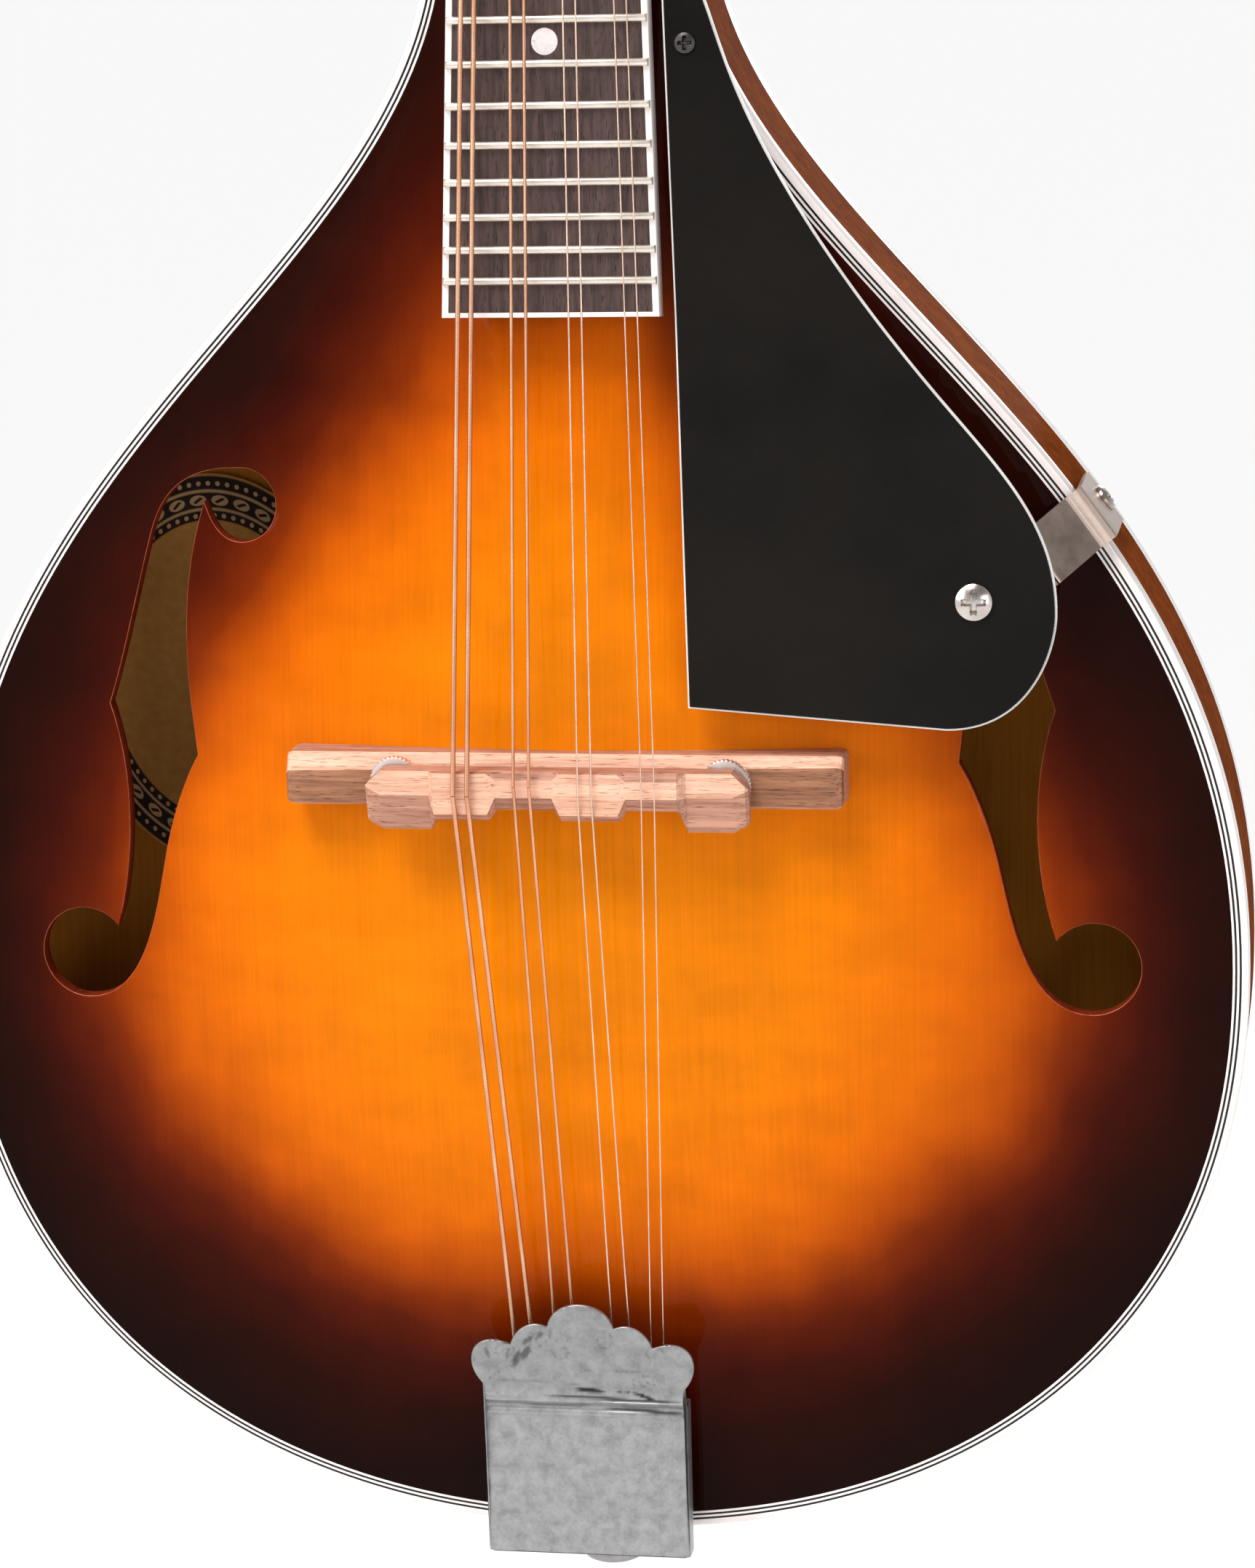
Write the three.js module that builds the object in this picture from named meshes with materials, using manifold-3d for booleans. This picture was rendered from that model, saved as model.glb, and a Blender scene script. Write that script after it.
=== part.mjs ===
// An A-style (teardrop) mandolin: arched top and back, f-holes, floating bridge, four courses of two strings.
// Millimetres. The neck points up +Z, the soundboard faces -Y, the bass side is at -X.
// The origin is in the middle of the neck at the nut, where a hanger's yoke would hold it.
import * as THREE from "three";
import { mergeVertices } from "three/addons/utils/BufferGeometryUtils.js";
import Module from "manifold-3d";

// ---------------------------------------------------------------- driving dimensions
const SCALE = 340; // nut to the nominal saddle line
const GAP = 0.3; // room left between pieces that touch

// Body. Its own frame has the saddle line at z = 0 and the rim's front plane at height 0.
const BODY_HALF_WIDTH = 135.5;
const WIDEST_Z = -38.9;
const TAIL_Z = -162;
const SHOULDER_Z = 170; // where the body meets the neck
const SHOULDER_HALF_WIDTH = 25.5;
const TAIL_ROUNDNESS = 2.2; // exponent of the superellipse below the widest line
const RIM_DEPTH = 39;
const RIB_THICKNESS = 2.2;
const PLATE_THICKNESS = 4;
const TOP_ARCH = 13.6;
const BACK_ARCH = 12;
const ARCH_CENTRE_Z = -20;
const BINDING_WIDTH = 1.5;
const BINDING_DEPTH = 5.5;
const LINING_WIDTH = 6;
const LINING_DEPTH = 8;

// Neck. Its frame starts at the nut, on the fingerboard's surface, and runs along the fingerboard.
const NECK_ANGLE = THREE.MathUtils.degToRad(4.5);
const BOARD_HEIGHT_AT_LAST_FRET = 15.5; // above the rim's front plane
const FRETS = 21;
const BOARD_LENGTH = 246;
const BOARD_THICKNESS = 5;
const NUT_WIDTH = 29;
const BOARD_END_WIDTH = 43.3;
const BOARD_BINDING = 1.4;
const FRET_HEIGHT = 1.1;
const FRET_WIDTH = 1.6;
const NECK_MIDDLE_DEPTH = 10; // from the fingerboard's surface to the origin

// Headstock. Its frame starts behind the nut, on the wood's front face.
const HEAD_ANGLE = THREE.MathUtils.degToRad(13.5);
const HEAD_START = 4.6;
const HEAD_THICKNESS = 14;
const VENEER = 1.5;
const POST_X = 21.5;
const POST_PITCH = 23;
const FIRST_POST_Z = 38;
const POST_RADIUS = 3;
const GEAR_RADIUS = 5.4;
const WORM_RADIUS = 2.4;
const WORM_OFFSET = 8.2; // from a post's axis to its worm's axis

// Strings, bass to treble.
const STRINGS = [
  { name: "string_g1", radius: 0.5, nut: -11.4, saddle: -19.9, hook: -14.2 },
  { name: "string_g2", radius: 0.5, nut: -9.1, saddle: -17.1, hook: -10.4 },
  { name: "string_d1", radius: 0.34, nut: -4.8, saddle: -7.7, hook: -6 },
  { name: "string_d2", radius: 0.34, nut: -2.5, saddle: -4.6, hook: -1.9 },
  { name: "string_a1", radius: 0.2, nut: 2.5, saddle: 5.1, hook: 5.9 },
  { name: "string_a2", radius: 0.2, nut: 4.7, saddle: 7.8, hook: 9.6 },
  { name: "string_e1", radius: 0.16, nut: 9.2, saddle: 17.8, hook: 13.4 },
  { name: "string_e2", radius: 0.16, nut: 11.4, saddle: 20.4, hook: 16 },
];
const HOOK_Z = -130;
const HOOK_HEIGHT = 7;
const STRING_AT_SADDLE = 28; // height of the string's underside
const STRING_AT_NUT = 1.5; // above the fingerboard's surface

// Bridge. It stands loose on the top, a little neckwards of the nominal saddle line.
const BRIDGE_Z = 2.5;
const BASE_HALF_LENGTH = 56.5;
const BASE_WIDTH = 10.5;
const BASE_TOP = 18;
const SADDLE_HALF_LENGTH = 39.5;
const SADDLE_CROWN = 27; // half length of the raised part under the strings
const SADDLE_WIDTH = 8.4;
const SADDLE_BOTTOM = 21;
const BRIDGE_POST_X = 33.3;
const BRIDGE_POST_RADIUS = 1.6;
const THUMBWHEEL_RADIUS = 4.8;
const THUMBWHEEL_BOTTOM = 18.9;
const THUMBWHEEL_THICKNESS = 1.8;

// Tailpiece
const TAIL_COVER_HALF_WIDTH = 21.3;
const TAIL_SHEET = 1;
const END_PIN_HEIGHT = -19.5;

// Pickguard. Its frame is hinged at its upper end, beside the fingerboard.
const GUARD_ANGLE = THREE.MathUtils.degToRad(3.15);
const GUARD_START_Z = 165;
const GUARD_START_HEIGHT = 10;
const GUARD_THICKNESS = 2;
const GUARD_SCREW = new THREE.Vector2(82.5, 38.7);
const GUARD_PIN = new THREE.Vector2(27, 147);
const BRACKET_RIM_Z = 53;
const BRACKET_WIDTH = 12;
const BRACKET_SHEET = 1.2;

// ---------------------------------------------------------------- helpers
const wasm = await Module();
wasm.setup();

const vec2 = (x, y) => new THREE.Vector2(x, y);
const vec3 = (x, y, z) => new THREE.Vector3(x, y, z);
const finish = (color, roughness, metalness = 0) =>
  new THREE.MeshStandardMaterial({ color, roughness, metalness });

const material = {
  sunburst: finish(0xc8641a, 0.2),
  maple: finish(0x8b451e, 0.25),
  binding: finish(0xf3e9e2, 0.3),
  spruce: finish(0xd9b98a, 0.7),
  paper: finish(0xe6dcc4, 0.9),
  neck: finish(0x6e3618, 0.3),
  blackVeneer: finish(0x15120f, 0.2),
  rosewood: finish(0x4a342c, 0.6),
  bridgeWood: finish(0xb98a74, 0.6),
  bone: finish(0xf1ead8, 0.4),
  nickel: finish(0xbfbcba, 0.28, 1),
  steel: finish(0x8f8f92, 0.35, 1),
  guard: finish(0x111412, 0.25),
  button: finish(0xf0ead9, 0.35),
  bronze: finish(0xc98d64, 0.35, 1),
  plainSteel: finish(0xcfcac5, 0.3, 1),
};

// Turns a closed geometry the right way out.
function outward(geometry) {
  const g = geometry.index ? geometry.toNonIndexed() : geometry;
  const p = g.attributes.position;
  const [a, b, c] = [vec3(0, 0, 0), vec3(0, 0, 0), vec3(0, 0, 0)];
  let volume = 0;
  for (let i = 0; i < p.count; i += 3) {
    a.fromBufferAttribute(p, i);
    b.fromBufferAttribute(p, i + 1);
    c.fromBufferAttribute(p, i + 2);
    volume += a.dot(b.cross(c));
  }
  if (volume < 0) {
    for (let i = 0; i < p.count; i += 3) {
      a.fromBufferAttribute(p, i + 1);
      b.fromBufferAttribute(p, i + 2);
      p.setXYZ(i + 1, b.x, b.y, b.z);
      p.setXYZ(i + 2, a.x, a.y, a.z);
    }
  }
  return g;
}

function toSolid(geometry) {
  const bare = outward(geometry.clone());
  bare.deleteAttribute("normal");
  bare.deleteAttribute("uv");
  const merged = mergeVertices(bare, 1e-4);
  return new wasm.Manifold(
    new wasm.Mesh({
      numProp: 3,
      vertProperties: merged.attributes.position.array,
      triVerts: new Uint32Array(merged.index.array),
    }),
  );
}

function toGeometry(solid) {
  const made = solid.getMesh();
  const g = new THREE.BufferGeometry();
  g.setAttribute("position", new THREE.BufferAttribute(new Float32Array(made.vertProperties), 3));
  g.setIndex(new THREE.BufferAttribute(new Uint32Array(made.triVerts), 1));
  g.computeVertexNormals();
  return g;
}

const join = (first, ...others) =>
  toGeometry(others.reduce((solid, g) => solid.add(toSolid(g)), toSolid(first)));
const cut = (first, ...tools) =>
  toGeometry(tools.reduce((solid, g) => solid.subtract(toSolid(g)), toSolid(first)));
const common = (a, b) => toGeometry(toSolid(a).intersect(toSolid(b)));

// A skin over equal rings of points, closed at both ends by fans.
function loft(rings) {
  const n = rings[0].length;
  const middle = (ring) => ring.reduce((sum, p) => sum.add(p), vec3(0, 0, 0)).divideScalar(n);
  const corners = [];
  for (let i = 0; i < n; i += 1) {
    const j = (i + 1) % n;
    corners.push(middle(rings[0]), rings[0][j], rings[0][i]);
    for (let k = 0; k + 1 < rings.length; k += 1) {
      const [low, high] = [rings[k], rings[k + 1]];
      corners.push(low[i], low[j], high[j], low[i], high[j], high[i]);
    }
    const last = rings[rings.length - 1];
    corners.push(middle(last), last[i], last[j]);
  }
  return outward(new THREE.BufferGeometry().setFromPoints(corners));
}

// A flat piece of a shape drawn in x and z, between two heights in front of its frame's plane.
function slab(shape, low, high) {
  const g = new THREE.ExtrudeGeometry(shape, {
    depth: high - low,
    bevelEnabled: false,
    curveSegments: 8,
  });
  return g.rotateX(Math.PI / 2).translate(0, -low, 0);
}

const outlineShape = (points) => new THREE.Shape(points);

function block(x0, x1, z0, z1, low, high) {
  const g = new THREE.BoxGeometry(x1 - x0, high - low, z1 - z0);
  return g.translate((x0 + x1) / 2, -(low + high) / 2, (z0 + z1) / 2);
}

// A turned piece: [radius, height] pairs round an axis that points to the front.
function turned(profile, segments = 12) {
  const points = profile.map(([r, h]) => vec2(r, h));
  return outward(new THREE.LatheGeometry(points, segments)).rotateX(Math.PI);
}

const rod = (radius, low, high, segments = 12) =>
  turned([[0, low], [radius, low], [radius, high], [0, high]], segments);

// A round wire through points, as rings square to it at each one.
function wire(points, radius, sides = 6) {
  const rings = points.map((p, i) => {
    const before = points[Math.max(i - 1, 0)];
    const after = points[Math.min(i + 1, points.length - 1)];
    const along = vec3(0, 0, 0).subVectors(after, before).normalize();
    const across = vec3(1, 0, 0).addScaledVector(along, -along.x).normalize();
    const up = vec3(0, 0, 0).crossVectors(along, across);
    return Array.from({ length: sides }, (_, k) => {
      const turn = (2 * Math.PI * k) / sides;
      return p
        .clone()
        .addScaledVector(across, radius * Math.cos(turn))
        .addScaledVector(up, radius * Math.sin(turn));
    });
  });
  return loft(rings);
}

const mandolin = new THREE.Group();

function place(group, name, geometry, look) {
  const mesh = new THREE.Mesh(geometry, look);
  mesh.name = name;
  group.add(mesh);
  return mesh;
}

// ---------------------------------------------------------------- frames
const lastFretZ = SCALE * (1 - 2 ** (-FRETS / 12));
const boardHeightAtNut = BOARD_HEIGHT_AT_LAST_FRET - lastFretZ * Math.tan(NECK_ANGLE);

const body = new THREE.Group();
body.position.set(0, boardHeightAtNut - NECK_MIDDLE_DEPTH, -SCALE);
mandolin.add(body);

const neck = new THREE.Group();
neck.position.set(0, -NECK_MIDDLE_DEPTH, 0);
neck.rotation.x = -NECK_ANGLE;
mandolin.add(neck);

const head = new THREE.Group();
head.position.set(0, BOARD_THICKNESS + GAP, HEAD_START);
head.rotation.x = -HEAD_ANGLE;
neck.add(head);

const guard = new THREE.Group();
guard.position.set(0, -GUARD_START_HEIGHT, GUARD_START_Z);
guard.rotation.x = -GUARD_ANGLE;
body.add(guard);

mandolin.updateMatrixWorld(true);

// ---------------------------------------------------------------- body outline
// The treble side from the middle of the tail to the shoulder, as x and z.
function trebleSide() {
  const lower = Array.from({ length: 13 }, (_, i) => {
    const turn = (Math.PI / 2) * (i / 12);
    return vec2(
      BODY_HALF_WIDTH * Math.sin(turn) ** (2 / TAIL_ROUNDNESS),
      WIDEST_Z + (TAIL_Z - WIDEST_Z) * Math.max(Math.cos(turn), 0) ** (2 / TAIL_ROUNDNESS),
    );
  });
  lower[0].x = 0;
  const upper = new THREE.CubicBezierCurve(
    vec2(BODY_HALF_WIDTH, WIDEST_Z),
    vec2(BODY_HALF_WIDTH, 68.8),
    vec2(28.3, 102.7),
    vec2(SHOULDER_HALF_WIDTH, SHOULDER_Z),
  );
  return [...lower.slice(0, -1), ...upper.getPoints(14)];
}

const side = trebleSide();

function sideNormal(i) {
  if (i === 0) return vec2(0, -1);
  const along = vec2(0, 0)
    .subVectors(side[Math.min(i + 1, side.length - 1)], side[i - 1])
    .normalize();
  return vec2(along.y, -along.x);
}

// The treble side moved inwards.
function insetSide(distance) {
  return side.map((p, i) => {
    const moved = p.clone().addScaledVector(sideNormal(i), -distance);
    if (i === 0) moved.x = 0;
    if (i === side.length - 1) moved.y = SHOULDER_Z - GAP;
    return moved;
  });
}

// Both sides, from the bass shoulder round the tail to the treble shoulder.
function bothSides(distance) {
  const half = insetSide(distance);
  const mirrored = half.slice(1).map((p) => vec2(-p.x, p.y));
  return [...mirrored.reverse(), ...half];
}

const plateEdge = bothSides(BINDING_WIDTH + GAP);
const archCentre = vec2(0, ARCH_CENTRE_Z);
const ARCH_STEPS = [0.16, 0.32, 0.48, 0.64, 0.8, 0.92, 1];

// How far out a point lies, from 0 at the middle of the arch to 1 at the plate's edge.
function reach(x, z) {
  const ray = vec2(x, z).sub(archCentre);
  let least = 0;
  plateEdge.forEach((a, i) => {
    const b = plateEdge[(i + 1) % plateEdge.length];
    const [p, q] = [a.clone().sub(archCentre), b.clone().sub(archCentre)];
    const span = p.cross(q);
    const u = ray.cross(q) / span;
    const v = p.cross(ray) / span;
    if (u >= -1e-9 && v >= -1e-9) least = Math.max(least, u + v);
  });
  return least;
}

const archShape = (rho) => (1 - rho * rho) ** 2;

// The arch as the flat facets between its rings give it.
function arch(x, z) {
  const rho = Math.min(reach(x, z), 1);
  let k = ARCH_STEPS.findIndex((step) => rho <= step);
  if (k < 0) k = ARCH_STEPS.length - 1;
  if (k === 0) return archShape(ARCH_STEPS[0]);
  const [low, high] = [ARCH_STEPS[k - 1], ARCH_STEPS[k]];
  const part = (rho - low) / (high - low);
  return archShape(low) * (1 - part) + archShape(high) * part;
}

// ---------------------------------------------------------------- plates, ribs, binding and linings
function archedPlate(faceHeight, direction, rise) {
  const ring = (rho, inner) =>
    plateEdge.map((p) => {
      const q = archCentre.clone().lerp(p, rho);
      const height = faceHeight + direction * (rise * archShape(rho) - inner * PLATE_THICKNESS);
      return vec3(q.x, -height, q.y);
    });
  const outer = ARCH_STEPS.map((rho) => ring(rho, 0));
  const inner = [...ARCH_STEPS].reverse().map((rho) => ring(rho, 1));
  return loft([...outer, ...inner]);
}

// The treble f-hole. Its two round lobes are joined by the stem, which has a nick on each side.
function fHole() {
  const upperLobe = vec2(67.6, 55.6);
  const lowerLobe = vec2(104.6, -38.4);
  const shape = new THREE.Shape();
  shape.moveTo(78.1, 4.3);
  shape.bezierCurveTo(79.4, 16, 82.6, 36, 75.4, 56.2);
  shape.bezierCurveTo(73.6, 50.6, 71.4, 48.2, 67.6, 48.1);
  shape.absarc(upperLobe.x, upperLobe.y, 7.5, -Math.PI / 2, -1.5 * Math.PI, true);
  shape.bezierCurveTo(77.5, 63.2, 84, 60, 87, 49.5);
  shape.bezierCurveTo(90.5, 37.5, 93.6, 24, 97, 14.5);
  shape.bezierCurveTo(92, 0, 92.6, -18, 97.2, -32.5);
  shape.absarc(lowerLobe.x, lowerLobe.y, 9.5, 2.46, -Math.PI / 2, true);
  shape.bezierCurveTo(91.8, -47.9, 88.6, -29, 86.4, -19);
  shape.bezierCurveTo(84.6, -10, 81.6, -1.5, 78.1, 4.3);
  return shape;
}

function soundboard() {
  const treble = slab(fHole(), -8, 22);
  const bass = outward(treble.clone().scale(-1, 1, 1));
  return cut(archedPlate(0, 1, TOP_ARCH), treble, bass);
}

place(body, "soundboard", soundboard(), material.sunburst);
place(body, "back_plate", archedPlate(-RIM_DEPTH, -1, BACK_ARCH), material.maple);

// A band that follows a stretch of the outline, between two insets and two heights.
function band(outerLine, innerLine, low, high) {
  const sections = outerLine.map((p, i) => {
    const q = innerLine[i];
    return [
      vec3(p.x, -high, p.y),
      vec3(q.x, -high, q.y),
      vec3(q.x, -low, q.y),
      vec3(p.x, -low, p.y),
    ];
  });
  return loft(sections);
}

function bindingBand(low, high) {
  return band(bothSides(0), bothSides(BINDING_WIDTH), low, high);
}

place(body, "top_binding", bindingBand(-BINDING_DEPTH, 0), material.binding);
place(
  body,
  "back_binding",
  bindingBand(-RIM_DEPTH, -RIM_DEPTH + BINDING_DEPTH),
  material.binding,
);

const TAIL_SEAM = 0.15; // half the gap between the ribs at the tail

function rib() {
  const [outer, inner] = [insetSide(0), insetSide(RIB_THICKNESS)];
  outer[0].x = TAIL_SEAM;
  inner[0].x = TAIL_SEAM;
  const inset = BINDING_DEPTH + GAP;
  return band(outer, inner, -RIM_DEPTH + inset, -inset);
}

// The screw holes of the end pin (along z) and of the bracket are cut through the ribs.
const endPinBore = rod(3.4, 0, 40)
  .rotateX(Math.PI / 2)
  .translate(0, -END_PIN_HEIGHT, TAIL_Z + 22);

const LINING_INSET = RIB_THICKNESS + GAP;
const LINING_TOP_Z = 138; // the linings stop at the neck block

function lining(low, high) {
  const keep = (points) => points.filter((p) => p.y < LINING_TOP_Z);
  const inner = bothSides(LINING_INSET + LINING_WIDTH);
  const outer = bothSides(LINING_INSET);
  const kept = keep(outer).length;
  const skip = (outer.length - kept) / 2;
  return band(outer.slice(skip, skip + kept), inner.slice(skip, skip + kept), low, high);
}

const plateInside = -PLATE_THICKNESS - GAP;
const backInside = -RIM_DEPTH + PLATE_THICKNESS + GAP;
place(body, "top_lining", lining(plateInside - LINING_DEPTH, plateInside), material.spruce);
place(body, "back_lining", lining(backInside, backInside + LINING_DEPTH), material.spruce);

// The blocks fill the outline at its two ends. The linings lap over the tail block.
function endBlock(limits, low, high) {
  const filled = slab(outlineShape(bothSides(LINING_INSET)), low, high);
  return common(filled, limits);
}

const neckBlockLimits = block(-60, 60, LINING_TOP_Z + 2, SHOULDER_Z, -60, 20);
const tailBlockLimits = block(-34, 34, TAIL_Z - 5, TAIL_Z + 22, -60, 20);
place(body, "neck_block", endBlock(neckBlockLimits, backInside, plateInside), material.spruce);
place(
  body,
  "tail_block",
  cut(
    endBlock(
      tailBlockLimits,
      backInside + LINING_DEPTH + GAP,
      plateInside - LINING_DEPTH - GAP,
    ),
    endPinBore,
  ),
  material.spruce,
);

// A bar glued under the soundboard from near the neck to near the tail.
function toneBar(direction) {
  const [upper, lower] = [vec2(24, 78), vec2(42, -112)];
  const stations = Array.from({ length: 8 }, (_, i) => upper.clone().lerp(lower, i / 7));
  const sections = stations.map((p, i) => {
    const depth = i === 0 || i === 7 ? 3 : 8;
    const top = (x) => TOP_ARCH * arch(x, p.y) - PLATE_THICKNESS - 2 * GAP;
    const [a, b] = [p.x - 2.75, p.x + 2.75];
    const low = Math.min(top(a), top(b)) - depth;
    return [
      vec3(a, -top(a), p.y),
      vec3(b, -top(b), p.y),
      vec3(b, -low, p.y),
      vec3(a, -low, p.y),
    ].map((q) => vec3(direction * q.x, q.y, q.z));
  });
  return loft(sections);
}

place(body, "bass_tone_bar", toneBar(-1), material.spruce);
place(body, "treble_tone_bar", toneBar(1), material.spruce);

// An oval paper label on the inside of the back, under the bass f-hole.
function label() {
  const centre = vec2(-81, 13);
  const half = vec2(27, 41);
  const ring = (part, lift) =>
    Array.from({ length: 24 }, (_, i) => {
      const turn = (2 * Math.PI * i) / 24;
      const x = centre.x + half.x * part * Math.cos(turn);
      const z = centre.y + half.y * part * Math.sin(turn);
      const floor = -RIM_DEPTH - BACK_ARCH * arch(x, z) + PLATE_THICKNESS;
      return vec3(x, -(floor + lift), z);
    });
  const steps = [0.3, 0.55, 0.8, 1];
  return loft([
    ...steps.map((part) => ring(part, 1)),
    ...[...steps].reverse().map((part) => ring(part, 0.6)),
  ]);
}

place(body, "label", label(), material.paper);

// ---------------------------------------------------------------- neck
const boardHalfWidth = (z) =>
  NUT_WIDTH / 2 + ((BOARD_END_WIDTH - NUT_WIDTH) / 2) * (-z / BOARD_LENGTH);

// From the headstock to the body joint: [place along the neck, half width, depth of its back,
// fullness of its section, from 0 for a round back to 1 for the square-shouldered heel].
const NECK_STATIONS = [
  [12, 14.6, 22.5, 0],
  [3, 14.4, 20, 0],
  [-40, 15.6, 20.6, 0],
  [-90, 17, 21.4, 0],
  [-132, 18.2, 22.4, 0],
  [-146, 18.6, 24.5, 0.1],
  [-156, 19.4, 29, 0.35],
  [-163, 20.8, 36, 0.65],
  [-168, 22.6, 43, 0.85],
  [-176, 24.8, 52, 1],
];

// The right half of a section: [share of the depth, share of the half width when round, when full].
const SECTION_STEPS = [
  [0.22, 1, 1],
  [0.46, 0.97, 0.98],
  [0.7, 0.84, 0.93],
  [0.9, 0.58, 0.84],
  [0.98, 0.3, 0.7],
];

function neckSection([z, halfWidth, depth, fullness]) {
  const top = BOARD_THICKNESS + GAP;
  const right = SECTION_STEPS.map(([down, round, full]) => [
    halfWidth * THREE.MathUtils.lerp(round, full, fullness),
    THREE.MathUtils.lerp(top, depth, down),
  ]);
  right.unshift([Math.min(halfWidth, boardHalfWidth(z)), top]);
  const left = right.map(([x, y]) => [-x, y]).reverse();
  return [...right, [0, depth], ...left].map(([x, y]) => vec3(x, y, z));
}

function headOutline() {
  const half = new THREE.Path();
  half.moveTo(14.6, 0);
  half.bezierCurveTo(16, 14, 31, 20, 37.5, 34);
  half.bezierCurveTo(41, 52, 31.5, 84, 31, 116);
  half.bezierCurveTo(31, 130, 33.5, 139, 37.5, 146);
  half.bezierCurveTo(30, 153, 22, 146, 14, 150);
  half.bezierCurveTo(9, 152.5, 5, 157, 0, 157);
  const right = half.getPoints(8);
  const left = right.slice(0, -1).map((p) => vec2(-p.x, p.y));
  return outlineShape([...right, ...left.reverse()]);
}

const headMatrix = head.matrix.clone();
const postPlaces = [0, 1, 2, 3].flatMap((i) =>
  [-1, 1].map((direction) => vec2(direction * POST_X, FIRST_POST_Z + i * POST_PITCH)),
);
const postHoles = (radius, low, high) =>
  postPlaces.map((p) => rod(radius, low, high, 10).translate(p.x, 0, p.y));

function neckWood() {
  const shaft = loft(NECK_STATIONS.map(neckSection));
  const tongue = block(-16, 16, -236, -165, -BOARD_THICKNESS - 3.8, -BOARD_THICKNESS - GAP);
  const paddle = cut(slab(headOutline(), -HEAD_THICKNESS, 0), ...postHoles(3.3, -20, 5));
  const whole = join(shaft, tongue, paddle.clone().applyMatrix4(headMatrix));
  // The body's end face, tilted by the neck angle in this frame.
  const bodyRoom = block(-60, 60, -120, 0, -80, 0).rotateX(NECK_ANGLE);
  const rimFront = vec3(0, 0, SHOULDER_Z + GAP);
  neck.worldToLocal(body.localToWorld(rimFront));
  bodyRoom.translate(0, rimFront.y - GAP, rimFront.z);
  const channel = block(-3.2, 3.2, -160, 12, -15, 0);
  const pocket = block(-5, 5, HEAD_START, 20, -16, 5);
  const aboveHead = block(-40, 40, 0, 60, 0, 20).applyMatrix4(headMatrix);
  const aboveBoard = block(-14.6, 14.6, -4, HEAD_START - GAP, -BOARD_THICKNESS - GAP, 9);
  return cut(whole, bodyRoom, channel, pocket, aboveBoard, aboveHead);
}

place(neck, "neck", neckWood(), material.neck);

function trussRod() {
  const bar = rod(2.4, -8, 155, 10);
  const hexNut = rod(3.5, -13, -8, 6);
  return join(bar, hexNut).rotateX(Math.PI / 2).translate(0, 11.6, 0);
}

place(neck, "truss_rod", trussRod(), material.steel);

// ---------------------------------------------------------------- fingerboard, frets and nut
function boardShape(margin, endMargin) {
  const start = boardHalfWidth(0) - margin;
  const end = boardHalfWidth(-BOARD_LENGTH) - margin;
  return [
    vec2(start, -GAP),
    vec2(-start, -GAP),
    vec2(-end, -BOARD_LENGTH + endMargin),
    vec2(end, -BOARD_LENGTH + endMargin),
  ];
}

// One fret: a low crown over the whole width, and a tang let into the wood between the bindings.
function fret(number) {
  const z = -SCALE * (1 - 2 ** (-number / 12));
  const reachOut = boardHalfWidth(z) - 0.2;
  const crown = [
    vec2(z - FRET_WIDTH / 2, 0.15),
    vec2(z + FRET_WIDTH / 2, 0.15),
    vec2(z + FRET_WIDTH / 4, FRET_HEIGHT),
    vec2(z - FRET_WIDTH / 4, FRET_HEIGHT),
  ].map((p) => [p.x, p.y]);
  const end = (x) => crown.map(([along, height]) => vec3(x, -height, along));
  const cap = loft([end(-reachOut), end(reachOut)]);
  const inside = reachOut - BOARD_BINDING - 1;
  return join(cap, block(-inside, inside, z - 0.3, z + 0.3, -1, 0.5));
}

function fingerboard() {
  const inner = outlineShape(boardShape(BOARD_BINDING + 0.1, 1.1));
  const board = slab(inner, -BOARD_THICKNESS, 0);
  const frets = Array.from({ length: FRETS }, (_, i) => fret(i + 1));
  return join(board, ...frets);
}

function fingerboardBinding() {
  const whole = slab(outlineShape(boardShape(0, 0)), -BOARD_THICKNESS, 0);
  const [a, b, c, d] = boardShape(BOARD_BINDING, 1);
  const room = outlineShape([vec2(a.x, 2), vec2(b.x, 2), c, d]);
  return cut(whole, slab(room, -BOARD_THICKNESS - 1, 1));
}

place(neck, "fingerboard", fingerboard(), material.rosewood);
place(neck, "fingerboard_binding", fingerboardBinding(), material.binding);

function nut() {
  const blank = block(-14.5, 14.5, 0, HEAD_START - 2 * GAP, -BOARD_THICKNESS, 2.3);
  const slots = STRINGS.map(({ nut: x, radius }) =>
    block(x - radius - 0.25, x + radius + 0.25, -1, 6, STRING_AT_NUT - 0.25, 4),
  );
  return cut(blank, ...slots);
}

place(neck, "nut", nut(), material.bone);

// ---------------------------------------------------------------- headstock veneer and truss rod cover
const veneerTop = GAP + VENEER;

function veneer() {
  const rodRoom = block(-5, 5, -5, 17, -1, 5);
  const nutRoom = block(-40, 40, -5, GAP, -5, 9);
  return cut(slab(headOutline(), GAP, veneerTop), ...postHoles(3.4, -2, 6), rodRoom, nutRoom);
}

place(head, "headstock_veneer", veneer(), material.blackVeneer);

function trussRodCover() {
  const shape = new THREE.Shape();
  shape.moveTo(-9, 2);
  shape.lineTo(9, 2);
  shape.bezierCurveTo(9, 14, 3.6, 22, 2.6, 34);
  shape.absarc(0, 34, 2.6, 0, Math.PI, false);
  shape.bezierCurveTo(-3.6, 22, -9, 14, -9, 2);
  return slab(shape, veneerTop + GAP, veneerTop + GAP + 1.6);
}

place(head, "truss_rod_cover", trussRodCover(), material.guard);

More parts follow.
